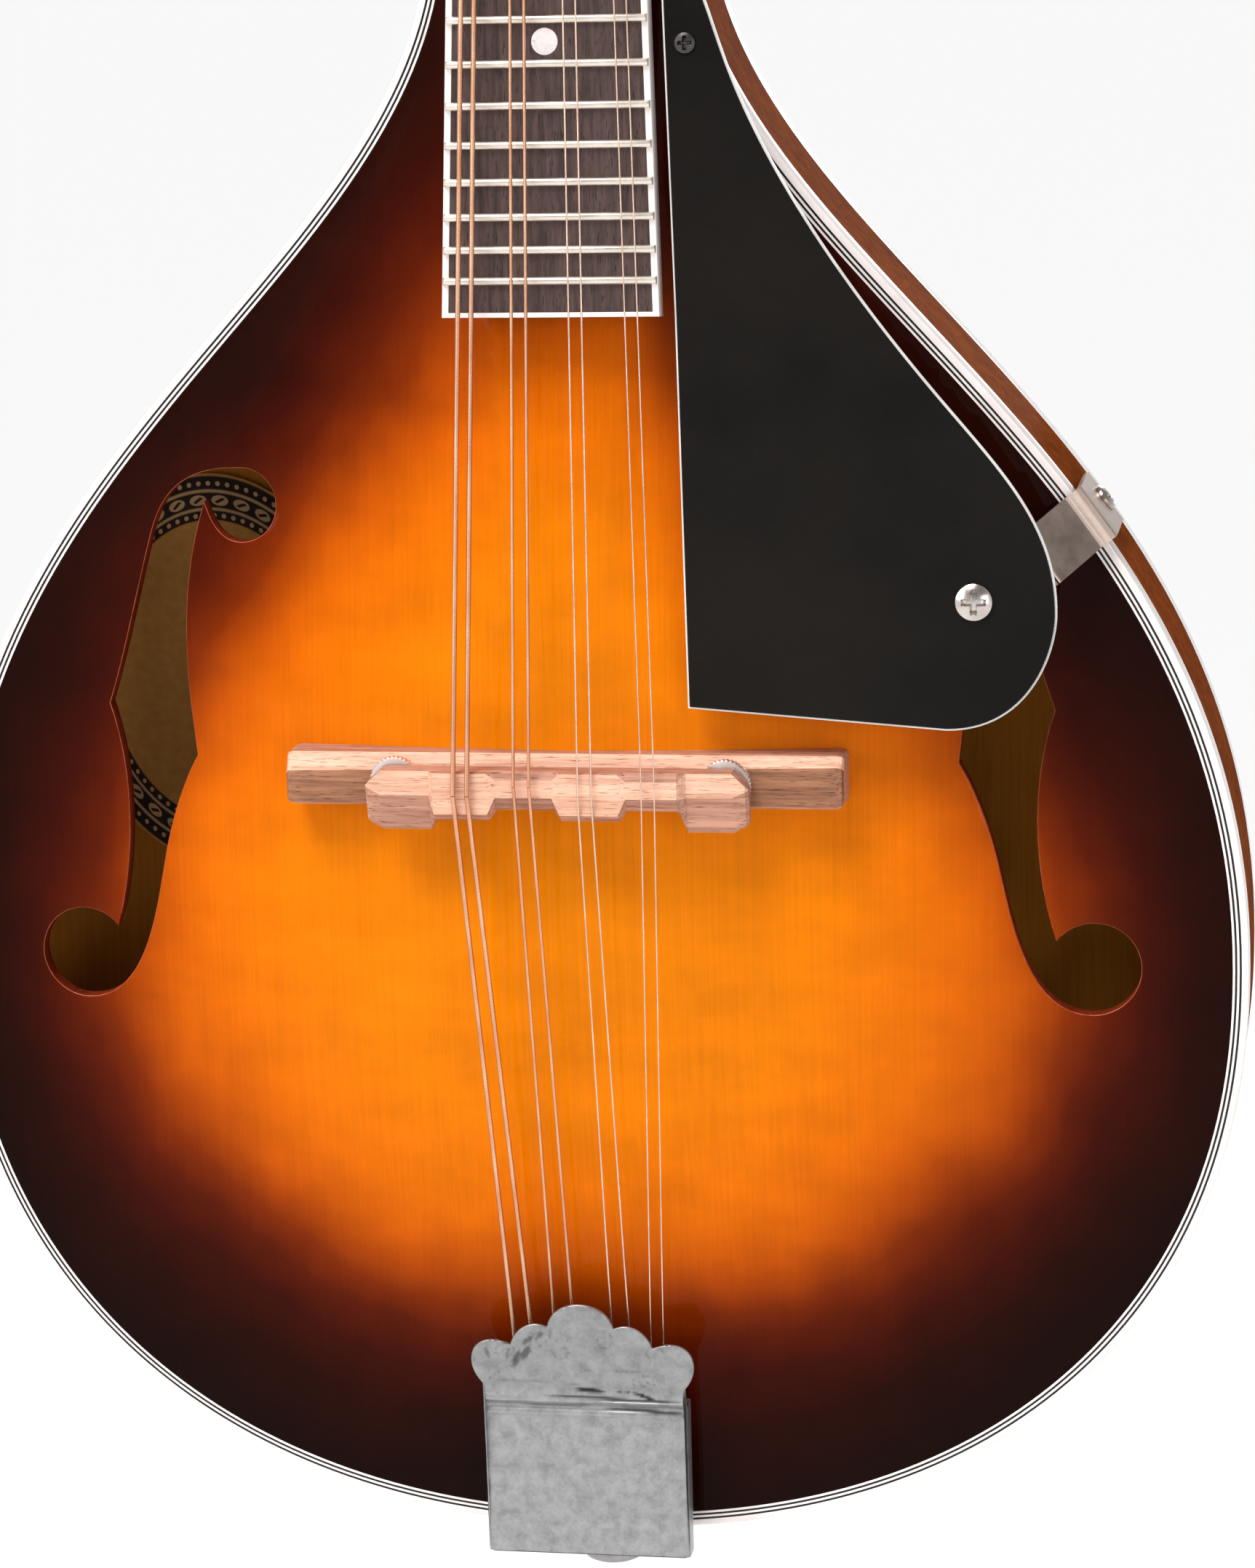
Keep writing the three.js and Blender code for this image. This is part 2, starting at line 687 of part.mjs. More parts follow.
// ---------------------------------------------------------------- tuning machines
const PLATE_BACK = -HEAD_THICKNESS - GAP - 1.2;
const SHAFT_HEIGHT = PLATE_BACK - 0.5 - 2;
const PLATE_INNER_X = POST_X - 7.5;
const PLATE_OUTER_X = POST_X + 7.5;
const TAB_XS = [POST_X - 6, POST_X + 6];

// Everything below is made for the treble side and mirrored for the bass side.
const forSide = (geometry, direction) =>
  direction > 0 ? geometry : outward(geometry.clone().scale(-1, 1, 1));

function tunerPlate() {
  const firstZ = FIRST_POST_Z - WORM_OFFSET - 5;
  const lastZ = FIRST_POST_Z + 3 * POST_PITCH + 9;
  const rows = [0, 1, 2, 3].map((i) => FIRST_POST_Z + i * POST_PITCH);
  const plate = block(PLATE_INNER_X, PLATE_OUTER_X, firstZ, lastZ, PLATE_BACK, PLATE_BACK + 1.2);
  const holes = rows.map((z) => rod(3.3, -25, 0, 10).translate(POST_X, 0, z));
  const tabs = rows.flatMap((z) => {
    const wormZ = z - WORM_OFFSET;
    return TAB_XS.map((x) =>
      block(x - 0.6, x + 0.6, wormZ - 2.8, wormZ + 2.8, SHAFT_HEIGHT - 2.8, PLATE_BACK + 0.4),
    );
  });
  const shafts = rows.map((z) =>
    rod(2, 0, 40, 8)
      .rotateZ(Math.PI / 2)
      .translate(0, -SHAFT_HEIGHT, z - WORM_OFFSET),
  );
  return cut(join(plate, ...tabs), ...holes, ...shafts);
}

function tunerPost() {
  const back = SHAFT_HEIGHT - 2;
  return turned([
    [0, back],
    [GEAR_RADIUS, back],
    [GEAR_RADIUS, back + 4],
    [POST_RADIUS, back + 4],
    [POST_RADIUS, 5.6],
    [POST_RADIUS - 0.5, 7.2],
    [POST_RADIUS, 8.8],
    [POST_RADIUS, 11.4],
    [0, 12],
  ]);
}

const BUTTON_START_X = 43;

function tunerKey() {
  const shaft = turned([
    [0, 14.4],
    [1.6, 14.4],
    [1.6, 17.2],
    [WORM_RADIUS, 17.4],
    [WORM_RADIUS, 25.6],
    [1.6, 25.8],
    [1.6, BUTTON_START_X + 2],
    [0, BUTTON_START_X + 2],
  ], 8).rotateZ(Math.PI / 2);
  const shape = new THREE.Shape();
  shape.moveTo(BUTTON_START_X, -3);
  shape.bezierCurveTo(BUTTON_START_X + 4, -4, BUTTON_START_X + 5, -8.5, BUTTON_START_X + 9, -8.5);
  shape.bezierCurveTo(BUTTON_START_X + 14, -8.5, BUTTON_START_X + 14, 8.5, BUTTON_START_X + 9, 8.5);
  shape.bezierCurveTo(BUTTON_START_X + 5, 8.5, BUTTON_START_X + 4, 4, BUTTON_START_X, 3);
  const paddle = new THREE.ExtrudeGeometry(shape, {
    depth: 4,
    bevelThickness: 1,
    bevelSize: 0.8,
    bevelOffset: -0.8,
    bevelSegments: 1,
    curveSegments: 4,
  });
  return join(shaft, paddle.rotateX(Math.PI / 2).translate(0, 2, 0));
}

const SIDES = [
  { name: "bass", direction: -1 },
  { name: "treble", direction: 1 },
];
const plateGeometry = tunerPlate();
const keyGeometry = tunerKey();
const postGeometry = tunerPost();
SIDES.forEach(({ name, direction }) => {
  place(head, name + "_tuner_plate", forSide(plateGeometry, direction), material.nickel);
  for (let i = 0; i < 4; i += 1) {
    const z = FIRST_POST_Z + i * POST_PITCH;
    const post = place(head, `${name}_post_${i + 1}`, postGeometry, material.nickel);
    post.position.set(direction * POST_X, 0, z);
    const key = place(head, `${name}_key_${i + 1}`, forSide(keyGeometry, direction), material.button);
    key.position.set(0, -SHAFT_HEIGHT, z - WORM_OFFSET);
  }
});

// ---------------------------------------------------------------- bridge
const bridgePostHoles = (low, high) =>
  [-BRIDGE_POST_X, BRIDGE_POST_X].map((x) =>
    rod(BRIDGE_POST_RADIUS + GAP, low, high, 10).translate(x, 0, 0),
  );

function bridgeBase() {
  const stations = [-1, -0.93, -0.75, -0.5, -0.25, 0, 0.25, 0.5, 0.75, 0.93, 1];
  const sections = stations.map((part) => {
    const x = part * BASE_HALF_LENGTH;
    const atEnd = Math.abs(part) > 0.9;
    const half = (BASE_WIDTH / 2) * (Math.abs(part) === 1 ? 0.8 : 1);
    const top = atEnd ? BASE_TOP - (Math.abs(part) === 1 ? 2.6 : 1) : BASE_TOP;
    const floor = (z) => TOP_ARCH * arch(x, BRIDGE_Z + z) + 2 * GAP;
    const low = Math.max(floor(-half), floor(half), floor(0));
    return [
      vec3(x, -top, -half),
      vec3(x, -top, half),
      vec3(x, -low, half),
      vec3(x, -low, -half),
    ];
  });
  const holes = bridgePostHoles(14.5, 30);
  return cut(loft(sections), ...holes);
}

// The saddle is raised under the strings, and each course's contact line is set by a notch beside it.
function bridgeSaddle() {
  const top = STRING_AT_SADDLE - 2.5 * GAP;
  const endTop = 25.2;
  const right = [
    [SADDLE_HALF_LENGTH, SADDLE_BOTTOM],
    [SADDLE_HALF_LENGTH, endTop - 1],
    [SADDLE_HALF_LENGTH - 2, endTop],
    [SADDLE_CROWN + 2, endTop],
    [SADDLE_CROWN, top],
  ];
  const outline = [...right, ...right.map(([x, h]) => [-x, h]).reverse()];
  const end = (z) => outline.map(([x, h]) => vec3(x, -h, z));
  const blank = loft([end(-SADDLE_WIDTH / 2), end(SADDLE_WIDTH / 2)]);
  const courses = [
    { x: -18.5, half: 4.4, neckSide: true },
    { x: -6.2, half: 3.6, neckSide: false },
    { x: 6.4, half: 4.4, neckSide: true },
    { x: 19.1, half: 4.2, neckSide: false },
  ];
  const notches = courses.map(({ x, half, neckSide }) =>
    neckSide
      ? block(x - half, x + half, 0.6, 6, top - 2, top + 3)
      : block(x - half, x + half, -6, -0.6, top - 2, top + 3),
  );
  const holes = bridgePostHoles(10, 24.4);
  return cut(blank, ...notches, ...holes);
}

const bridge = new THREE.Group();
bridge.position.z = BRIDGE_Z;
body.add(bridge);
place(bridge, "bridge_base", bridgeBase(), material.bridgeWood);
place(bridge, "bridge_saddle", bridgeSaddle(), material.bridgeWood);

SIDES.forEach(({ name, direction }) => {
  const post = rod(BRIDGE_POST_RADIUS, 14.8, 23.6, 10);
  const hole = rod(BRIDGE_POST_RADIUS + GAP, 10, 30, 10);
  const wheel = rod(
    THUMBWHEEL_RADIUS,
    THUMBWHEEL_BOTTOM,
    THUMBWHEEL_BOTTOM + THUMBWHEEL_THICKNESS,
    20,
  );
  const x = direction * BRIDGE_POST_X;
  place(bridge, name + "_bridge_post", post, material.nickel).position.x = x;
  place(bridge, name + "_thumbwheel", cut(wheel, hole), material.nickel).position.x = x;
});

// ---------------------------------------------------------------- tailpiece and end pin
const TAIL_BASE_FRONT = 5.4;
const TAIL_BASE_HALF_WIDTH = 18.5;

function tailpieceBase() {
  const [near, far] = [TAIL_Z - GAP - 0.2, TAIL_Z - GAP - 1.4];
  const top = block(-TAIL_BASE_HALF_WIDTH, TAIL_BASE_HALF_WIDTH, far, -126, 4.2, TAIL_BASE_FRONT);
  const drop = block(-13, 13, far, near, -31, 5);
  const hooks = STRINGS.map(({ hook: x, radius }) =>
    block(x - 1, x + 1, HOOK_Z - 1.4, HOOK_Z, TAIL_BASE_FRONT - 0.4, HOOK_HEIGHT + radius + 1),
  );
  return cut(join(top, drop, ...hooks), endPinBore);
}

place(body, "tailpiece_base", tailpieceBase(), material.nickel);

// The cover is a folded sheet: a flat rear part, and a front lip that rises over the strings
// and ends in five scallops.
function coverOutline() {
  const w = TAIL_COVER_HALF_WIDTH;
  const shape = new THREE.Shape();
  shape.moveTo(-w, TAIL_Z - 2.2);
  shape.lineTo(w, TAIL_Z - 2.2);
  shape.lineTo(w, -126.5);
  shape.bezierCurveTo(25.6, -121.5, 23, -113.8, 14.9, -117.4);
  shape.bezierCurveTo(13.6, -113.4, 10, -111.6, 7, -113.2);
  shape.bezierCurveTo(5.6, -106.2, -5.6, -106.2, -7, -113.2);
  shape.bezierCurveTo(-10, -111.6, -13.6, -113.4, -14.9, -117.4);
  shape.bezierCurveTo(-23, -113.8, -25.6, -121.5, -w, -126.5);
  shape.lineTo(-w, TAIL_Z - 2.2);
  return shape;
}

function tailpieceCover() {
  // The sheet's own side view: [z, height of its underside].
  const sideView = [
    [TAIL_Z - 4, 9],
    [-131, 9.4],
    [-128.6, 10.8],
    [-105, 14.6],
  ];
  const outline = slab(coverOutline(), 0, 30);
  const face = sideView.map(([z, h]) => [z, h + TAIL_SHEET]);
  const profile = [...sideView, ...[...face].reverse()];
  const shape = new THREE.Shape(profile.map(([z, h]) => vec2(z, h)));
  const sheet = new THREE.ExtrudeGeometry(shape, { depth: 60, bevelEnabled: false });
  // The side view's z and height become z and -y, and the extrusion runs along x.
  sheet.applyMatrix4(new THREE.Matrix4().makeBasis(vec3(0, 0, 1), vec3(0, -1, 0), vec3(1, 0, 0)));
  sheet.translate(-30, 0, 0);
  const skirt = (d) =>
    block(
      Math.min(d * TAIL_COVER_HALF_WIDTH, d * (TAIL_COVER_HALF_WIDTH - TAIL_SHEET)),
      Math.max(d * TAIL_COVER_HALF_WIDTH, d * (TAIL_COVER_HALF_WIDTH - TAIL_SHEET)),
      TAIL_Z - 2.2,
      -131,
      5,
      9.6,
    );
  return join(common(sheet, outline), skirt(-1), skirt(1));
}

place(body, "tailpiece_cover", tailpieceCover(), material.nickel);

// The strap button's shank runs through the tailpiece and the ribs into the tail block.
function endPin() {
  const pin = turned([
    [0, -16],
    [3, -16],
    [3, 1.8],
    [6, 1.8],
    [6.4, 3],
    [4, 5.4],
    [4, 8.4],
    [7.4, 11],
    [7.4, 12.6],
    [5.6, 13.8],
    [0, 13.8],
  ], 16);
  return pin.rotateX(Math.PI / 2).translate(0, -END_PIN_HEIGHT, TAIL_Z);
}

place(body, "end_pin", endPin(), material.nickel);

// ---------------------------------------------------------------- pickguard and its fixings
const inGuard = (p) => vec2(p.x, p.y - GUARD_START_Z);

function guardShape() {
  const shape = new THREE.Shape();
  const at = (x, z) => [x, z - GUARD_START_Z];
  shape.moveTo(...at(22.2, 163));
  shape.lineTo(...at(24.2, 94.2));
  shape.lineTo(...at(25.8, 17.2));
  shape.lineTo(...at(77, 13.2));
  shape.bezierCurveTo(...at(93, 13.2), ...at(98.4, 28), ...at(98.6, 36));
  shape.bezierCurveTo(...at(98.8, 52), ...at(90, 62), ...at(78, 76));
  shape.bezierCurveTo(...at(60, 97), ...at(42, 122), ...at(34, 146));
  shape.bezierCurveTo(...at(31.5, 153), ...at(29, 163), ...at(25, 164.6));
  shape.lineTo(...at(22.2, 163));
  return shape;
}

const guardHoleAt = (p) => {
  const q = inGuard(p);
  return rod(1.8, -6, 4, 8).translate(q.x, 0, q.y);
};

place(
  guard,
  "pickguard",
  cut(slab(guardShape(), -GUARD_THICKNESS, 0), guardHoleAt(GUARD_SCREW), guardHoleAt(GUARD_PIN)),
  material.guard,
);

// A pan-head screw, its head's underside at height 0.
const panScrew = (headRadius, shankRadius, length) =>
  turned([
    [0, -length],
    [shankRadius, -length],
    [shankRadius, 0],
    [headRadius, 0],
    [headRadius, 0.7],
    [headRadius * 0.7, 1.7],
    [0, 2],
  ], 12);

const guardScrew = place(guard, "pickguard_screw", panScrew(3.6, 1.4, 6.4), material.nickel);
guardScrew.position.set(GUARD_SCREW.x, -GAP, inGuard(GUARD_SCREW).y);

// The pin stands on the soundboard beside the fingerboard and carries the guard's upper end.
const guardPin = place(guard, "pickguard_pin", panScrew(2.3, 1.4, 8.4), material.steel);
guardPin.position.set(GUARD_PIN.x, -GAP, inGuard(GUARD_PIN).y);

// The bracket lies under the guard, drops to the rim and folds over the binding.
const rimIndex = side.findIndex((p) => p.y > BRACKET_RIM_Z);
const rimPart = (BRACKET_RIM_Z - side[rimIndex - 1].y) / (side[rimIndex].y - side[rimIndex - 1].y);
const rimPoint = side[rimIndex - 1].clone().lerp(side[rimIndex], rimPart);
const rimAlong = side[rimIndex].clone().sub(side[rimIndex - 1]).normalize();
const bracket = new THREE.Group();
bracket.position.set(rimPoint.x, 0, rimPoint.y);
bracket.rotation.y = -Math.atan2(-rimAlong.x, rimAlong.y);
body.add(bracket);
bracket.updateMatrixWorld(true);

const RIB_SCREW_HEIGHT = -14.5;

function guardBracket() {
  // Inner face of the folded strap: [distance outwards from the rim, height].
  const t = BRACKET_SHEET;
  const upper = [
    [-31, 13.8],
    [-10.5, 13.8],
    [-1, 2 + t],
    [1 + t, 2 + t - 0.8],
    [1 + t, -19.5],
  ];
  const lower = [
    [1, -19.5],
    [1, 1.4],
    [-1.6, 2],
    [-11, 13.8 - t],
    [-31, 13.8 - t],
  ];
  const shape = new THREE.Shape([...upper, ...lower].map(([x, h]) => vec2(x, h)));
  const strap = new THREE.ExtrudeGeometry(shape, { depth: BRACKET_WIDTH, bevelEnabled: false });
  strap.scale(1, -1, 1).translate(0, 0, -BRACKET_WIDTH / 2);
  const screwHere = bracket.worldToLocal(
    guard.localToWorld(vec3(GUARD_SCREW.x, 0, inGuard(GUARD_SCREW).y)),
  );
  const guardHole = rod(1.9, 0, 30, 8).translate(screwHere.x, 0, screwHere.z);
  const ribHole = rod(1.7, -10, 10, 8).rotateZ(Math.PI / 2).translate(0, -RIB_SCREW_HEIGHT, 0);
  return cut(outward(strap), guardHole, ribHole);
}

place(bracket, "pickguard_bracket", guardBracket(), material.nickel);

const ribScrewGeometry = panScrew(2.9, 1.3, 7.5)
  .rotateZ(Math.PI / 2)
  .translate(1 + BRACKET_SHEET + GAP, -RIB_SCREW_HEIGHT, 0);
place(bracket, "bracket_screw", ribScrewGeometry, material.nickel);

// ---------------------------------------------------------------- ribs, with the screws' holes
const bracketBore = rod(1.7, -20, 20, 8)
  .rotateZ(Math.PI / 2)
  .translate(0, -RIB_SCREW_HEIGHT, 0)
  .applyMatrix4(bracket.matrix);
const trebleRib = rib();
place(body, "treble_rib", cut(trebleRib, endPinBore, bracketBore), material.maple);
place(
  body,
  "bass_rib",
  cut(outward(trebleRib.clone().scale(-1, 1, 1)), endPinBore),
  material.maple,
);

// ---------------------------------------------------------------- strings
function inMandolin(group, x, height, z) {
  return group.localToWorld(vec3(x, -height, z));
}

STRINGS.forEach(({ name, radius, nut: nutX, saddle, hook }, i) => {
  const bass = i < 4;
  const direction = bass ? -1 : 1;
  // The outermost string of each side goes to the post nearest the nut.
  const row = bass ? i : 7 - i;
  const postZ = FIRST_POST_Z + row * POST_PITCH;
  const postX = direction * (POST_X - POST_RADIUS - radius - GAP);
  const points = [
    inMandolin(body, hook, HOOK_HEIGHT, HOOK_Z + GAP),
    inMandolin(body, saddle, STRING_AT_SADDLE + radius, BRIDGE_Z + (i % 4 < 2 ? -1 : 1)),
    inMandolin(neck, nutX, STRING_AT_NUT + radius, 0),
    inMandolin(neck, nutX, STRING_AT_NUT + radius - 0.2, HEAD_START - 0.6),
    inMandolin(head, postX, 7.2, postZ + 1),
  ];
  place(mandolin, name, wire(points, radius), bass ? material.bronze : material.plainSteel);
});

export default mandolin;
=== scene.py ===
"""The looks of an A-style mandolin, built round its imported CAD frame.

Sizes are in millimetres and are turned into metres by mesh_piece(). Points are written (x, height, z):
x to the treble side, height towards the front of the frame that they are in, z towards the headstock.
"""

import math

import bmesh
import bpy
import numpy as np
from mathutils import Matrix, Vector
from mathutils.geometry import delaunay_2d_cdt

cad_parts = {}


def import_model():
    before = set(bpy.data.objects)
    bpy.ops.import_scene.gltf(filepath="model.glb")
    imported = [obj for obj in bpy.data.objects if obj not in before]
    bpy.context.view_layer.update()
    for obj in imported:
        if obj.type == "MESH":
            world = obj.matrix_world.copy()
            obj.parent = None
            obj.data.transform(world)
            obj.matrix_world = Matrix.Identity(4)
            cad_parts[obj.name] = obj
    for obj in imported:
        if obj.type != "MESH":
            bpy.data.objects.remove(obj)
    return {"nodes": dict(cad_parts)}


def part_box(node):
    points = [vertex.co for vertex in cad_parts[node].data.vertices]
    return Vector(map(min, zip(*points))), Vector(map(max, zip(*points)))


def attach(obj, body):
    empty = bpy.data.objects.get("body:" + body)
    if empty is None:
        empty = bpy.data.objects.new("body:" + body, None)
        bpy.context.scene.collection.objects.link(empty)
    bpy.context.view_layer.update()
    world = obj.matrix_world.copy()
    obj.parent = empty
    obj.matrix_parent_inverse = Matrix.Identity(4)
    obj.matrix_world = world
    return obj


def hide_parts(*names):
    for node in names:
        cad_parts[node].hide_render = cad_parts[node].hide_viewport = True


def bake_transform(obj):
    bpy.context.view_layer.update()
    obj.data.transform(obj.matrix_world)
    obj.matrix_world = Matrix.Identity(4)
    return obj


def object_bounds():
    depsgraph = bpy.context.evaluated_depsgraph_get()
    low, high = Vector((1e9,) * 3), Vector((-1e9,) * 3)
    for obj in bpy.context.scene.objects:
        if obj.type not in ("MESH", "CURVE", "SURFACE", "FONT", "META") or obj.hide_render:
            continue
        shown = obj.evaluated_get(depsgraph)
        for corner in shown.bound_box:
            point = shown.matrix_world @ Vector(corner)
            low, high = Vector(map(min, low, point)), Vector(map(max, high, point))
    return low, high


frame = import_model()
cad_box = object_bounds()
MM = 0.001

# ------------------------------------------------------------------ sizes shared with the CAD model
SCALE = 340
GAP = 0.3
BODY_HALF_WIDTH = 135.5
WIDEST_Z = -38.9
TAIL_Z = -162
SHOULDER_Z = 170
SHOULDER_HALF_WIDTH = 25.5
TAIL_ROUNDNESS = 2.2
RIM_DEPTH = 39
RIB_THICKNESS = 2.2
PLATE_THICKNESS = 4
TOP_ARCH = 13.6
BACK_ARCH = 12
ARCH_CENTRE_Z = -20
BINDING_WIDTH = 1.5
BINDING_DEPTH = 5.5
NECK_ANGLE = math.radians(4.5)
HEAD_ANGLE = math.radians(13.5)
GUARD_ANGLE = math.radians(3.15)
BOARD_LENGTH = 246
BOARD_THICKNESS = 5
BOARD_BINDING = 1.4
NUT_WIDTH = 29
BOARD_END_WIDTH = 43.3
FRETS = 21
FRET_HEIGHT = 1.1
FRET_WIDTH = 1.6
NECK_MIDDLE_DEPTH = 10
HEAD_START = 4.6
HEAD_THICKNESS = 14
VENEER = 1.5
POST_X = 21.5
POST_PITCH = 23
FIRST_POST_Z = 38
WORM_OFFSET = 8.2
SHAFT_HEIGHT = -18
BUTTON_START_X = 43
GUARD_START_Z = 165
GUARD_START_HEIGHT = 10
BRIDGE_Z = 2.5
BRIDGE_POST_X = 33.3
THUMBWHEEL_BOTTOM = 18.9
THUMBWHEEL_THICKNESS = 1.8
END_PIN_HEIGHT = -19.5
HOOK_Z = -130
HOOK_HEIGHT = 7
STRING_AT_SADDLE = 28
STRING_AT_NUT = 1.5
# name, radius, and x at the nut, at the saddle and at the hook
STRINGS = (
    ("g1", 0.5, -11.4, -19.9, -14.2),
    ("g2", 0.5, -9.1, -17.1, -10.4),
    ("d1", 0.34, -4.8, -7.7, -6),
    ("d2", 0.34, -2.5, -4.6, -1.9),
    ("a1", 0.2, 2.5, 5.1, 5.9),
    ("a2", 0.2, 4.7, 7.8, 9.6),
    ("e1", 0.16, 9.2, 17.8, 13.4),
    ("e2", 0.16, 11.4, 20.4, 16),
)
SIDES = (("bass", -1), ("treble", 1))

# ------------------------------------------------------------------ frames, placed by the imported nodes
rim_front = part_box("top_binding")[0].y
saddle_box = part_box("bridge_saddle")
saddle_line = (saddle_box[0].z + saddle_box[1].z) / 2
BODY = Matrix.Translation((0, rim_front, saddle_line - BRIDGE_Z * MM))
BRIDGE = BODY @ Matrix.Translation((0, 0, BRIDGE_Z * MM))
NECK = Matrix.Translation((0, -NECK_MIDDLE_DEPTH * MM, 0)) @ Matrix.Rotation(-NECK_ANGLE, 4, "X")
HEAD = NECK @ Matrix.Translation((0, (BOARD_THICKNESS + GAP) * MM, HEAD_START * MM))
HEAD = HEAD @ Matrix.Rotation(-HEAD_ANGLE, 4, "X")
GUARD = BODY @ Matrix.Translation((0, -GUARD_START_HEIGHT * MM, GUARD_START_Z * MM))
GUARD = GUARD @ Matrix.Rotation(-GUARD_ANGLE, 4, "X")


def world(place, x, height, z):
    """A point of a frame, in metres."""
    return place @ (Vector((x, -height, z)) * MM)


# ------------------------------------------------------------------ camera
CAMERA_DISTANCE = 0.9034
CAMERA_LENS = 102.2
CAMERA_SENSOR = 36
CAMERA_YAW = math.radians(9.8)  # towards the treble side
CAMERA_PITCH = math.radians(12)  # towards the neck
CAMERA_ROLL = math.radians(-1.419)
CAMERA_AIM = world(BODY, 10.28, 0, -1.78)


def make_camera():
    data = bpy.data.cameras.new("camera")
    data.lens = CAMERA_LENS
    data.sensor_width = CAMERA_SENSOR
    data.clip_start = 0.02
    cam = bpy.data.objects.new("camera", data)
    bpy.context.scene.collection.objects.link(cam)
    flat = math.cos(CAMERA_PITCH)
    back = Vector((math.sin(CAMERA_YAW) * flat, -math.cos(CAMERA_YAW) * flat, math.sin(CAMERA_PITCH)))
    right = Vector((0, 0, 1)).cross(back).normalized()
    up = back.cross(right)
    rolled = right * math.cos(CAMERA_ROLL) + up * math.sin(CAMERA_ROLL)
    turn = Matrix((rolled, back.cross(rolled), back)).transposed()
    cam.matrix_world = Matrix.Translation(CAMERA_AIM + back * CAMERA_DISTANCE) @ turn.to_4x4()
    bpy.context.scene.camera = cam


make_camera()


# ------------------------------------------------------------------ materials
def linear(rgb):
    """An sRGB colour, 0 to 255, as the linear colour that shaders take."""
    parts = [c / 255 for c in rgb]
    return [c / 12.92 if c <= 0.04045 else ((c + 0.055) / 1.055) ** 2.4 for c in parts] + [1]


class Look:
    """A material with a Principled shader, and short ways to add procedural detail to it."""

    def __init__(self, name, roughness, metallic=0.0, coat=0.0, coat_roughness=0.05, specular=0.5):
        self.material = bpy.data.materials.new(name)
        self.material.use_nodes = True
        self.nodes = self.material.node_tree.nodes
        self.links = self.material.node_tree.links
        self.shader = self.nodes["Principled BSDF"]
        values = {
            "Roughness": roughness, "Metallic": metallic, "Coat Weight": coat,
            "Coat Roughness": coat_roughness, "Specular IOR Level": specular
        }
        for socket, value in values.items():
            self.shader.inputs[socket].default_value = value
        self.where = self.nodes.new("ShaderNodeTexCoord").outputs["Object"]

    def node(self, kind, settings=None, **inputs):
        made = self.nodes.new("ShaderNode" + kind)
        for key, value in (settings or {}).items():
            setattr(made, key, value)
        for key, value in inputs.items():
            self.put(made.inputs[int(key[1:]) if key[0] == "i" and key[1:].isdigit() else key], value)
        return made

    def put(self, socket, value):
        if hasattr(value, "links"):
            self.links.new(value, socket)
        else:
            socket.default_value = value

    def math(self, operation, a, b=0.0):
        return self.node("Math", {"operation": operation}, i0=a, i1=b).outputs[0]

    def plus(self, a, b):
        return self.math("ADD", a, b)

    def times(self, a, b):
        return self.math("MULTIPLY", a, b)

    def squares(self, a, b):
        """The sum of two squares."""
        return self.plus(self.math("POWER", a, 2), self.math("POWER", b, 2))

    def attribute(self, name):
        return self.node("Attribute", {"attribute_name": name}).outputs["Fac"]

    def noise(self, scale, detail, roughness=0.55, distortion=0.0):
        """Noise over the place in millimetres, scaled by one factor or by its own factor on each axis."""
        factors = [s / MM for s in np.broadcast_to(scale, 3).tolist()]
        place = self.node("Mapping", Vector=self.where, Scale=factors).outputs[0]
        made = self.node("TexNoise", Vector=place, Scale=1.0, Detail=detail, Roughness=roughness)
        made.inputs["Distortion"].default_value = distortion
        return made.outputs["Fac"]

    def ramp(self, value, stops):
        made = self.node("ValToRGB", i0=value)
        ramp = made.color_ramp
        while len(ramp.elements) < len(stops):
            ramp.elements.new(1.0)
        for element, (at, colour) in zip(ramp.elements, stops):
            element.position = at
            element.color = linear(colour)
        return made.outputs["Color"]

    def span(self, value, low, high, out_low=0.0, out_high=1.0):
        made = self.node("MapRange", Value=value)
        for key, v in (("From Min", low), ("From Max", high), ("To Min", out_low), ("To Max", out_high)):
            made.inputs[key].default_value = v
        return made.outputs[0]

    def mix(self, share, a, b, blend="MIX"):
        made = self.node("Mix", {"data_type": "RGBA", "blend_type": blend})
        for socket, value in ((made.inputs[0], share), (made.inputs[6], a), (made.inputs[7], b)):
            self.put(socket, value)
        return made.outputs[2]

    def colour(self, value):
        self.put(self.shader.inputs["Base Color"], value)

    def rough(self, value, low, high):
        self.put(self.shader.inputs["Roughness"], self.span(value, 0.3, 0.7, low, high))

    def bump(self, value, depth_mm, strength):
        made = self.node("Bump", Height=value, Strength=strength, Distance=depth_mm * MM)
        self.put(self.shader.inputs["Normal"], made.outputs[0])


def sunburst(name, stops):
    """Clear lacquer over a sunburst stain. The burst attribute is how far towards the edge a point lies."""
    look = Look(name, roughness=0.42, coat=0.1, coat_roughness=0.03, specular=0.0)
    cloud = look.noise((0.022, 0.022, 0.016), detail=3)
    grain = look.noise((1.6, 0.4, 0.016), detail=5, roughness=0.65)
    burst = look.plus(look.attribute("burst"), look.span(cloud, 0.3, 0.7, -0.035, 0.035))
    stain = look.ramp(burst, stops)
    tone = look.span(grain, 0.3, 0.7, 0.93, 1.07)
    patch = look.span(look.noise((0.05, 0.05, 0.09), detail=4), 0.3, 0.7, 0.9, 1.1)
    shade = look.times(tone, patch)
    grey = look.node("CombineColor", i0=shade, i1=shade, i2=shade).outputs[0]
    look.colour(look.mix(1.0, stain, grey, "MULTIPLY"))
    look.bump(grain, 0.02, 0.25)
    return look.material


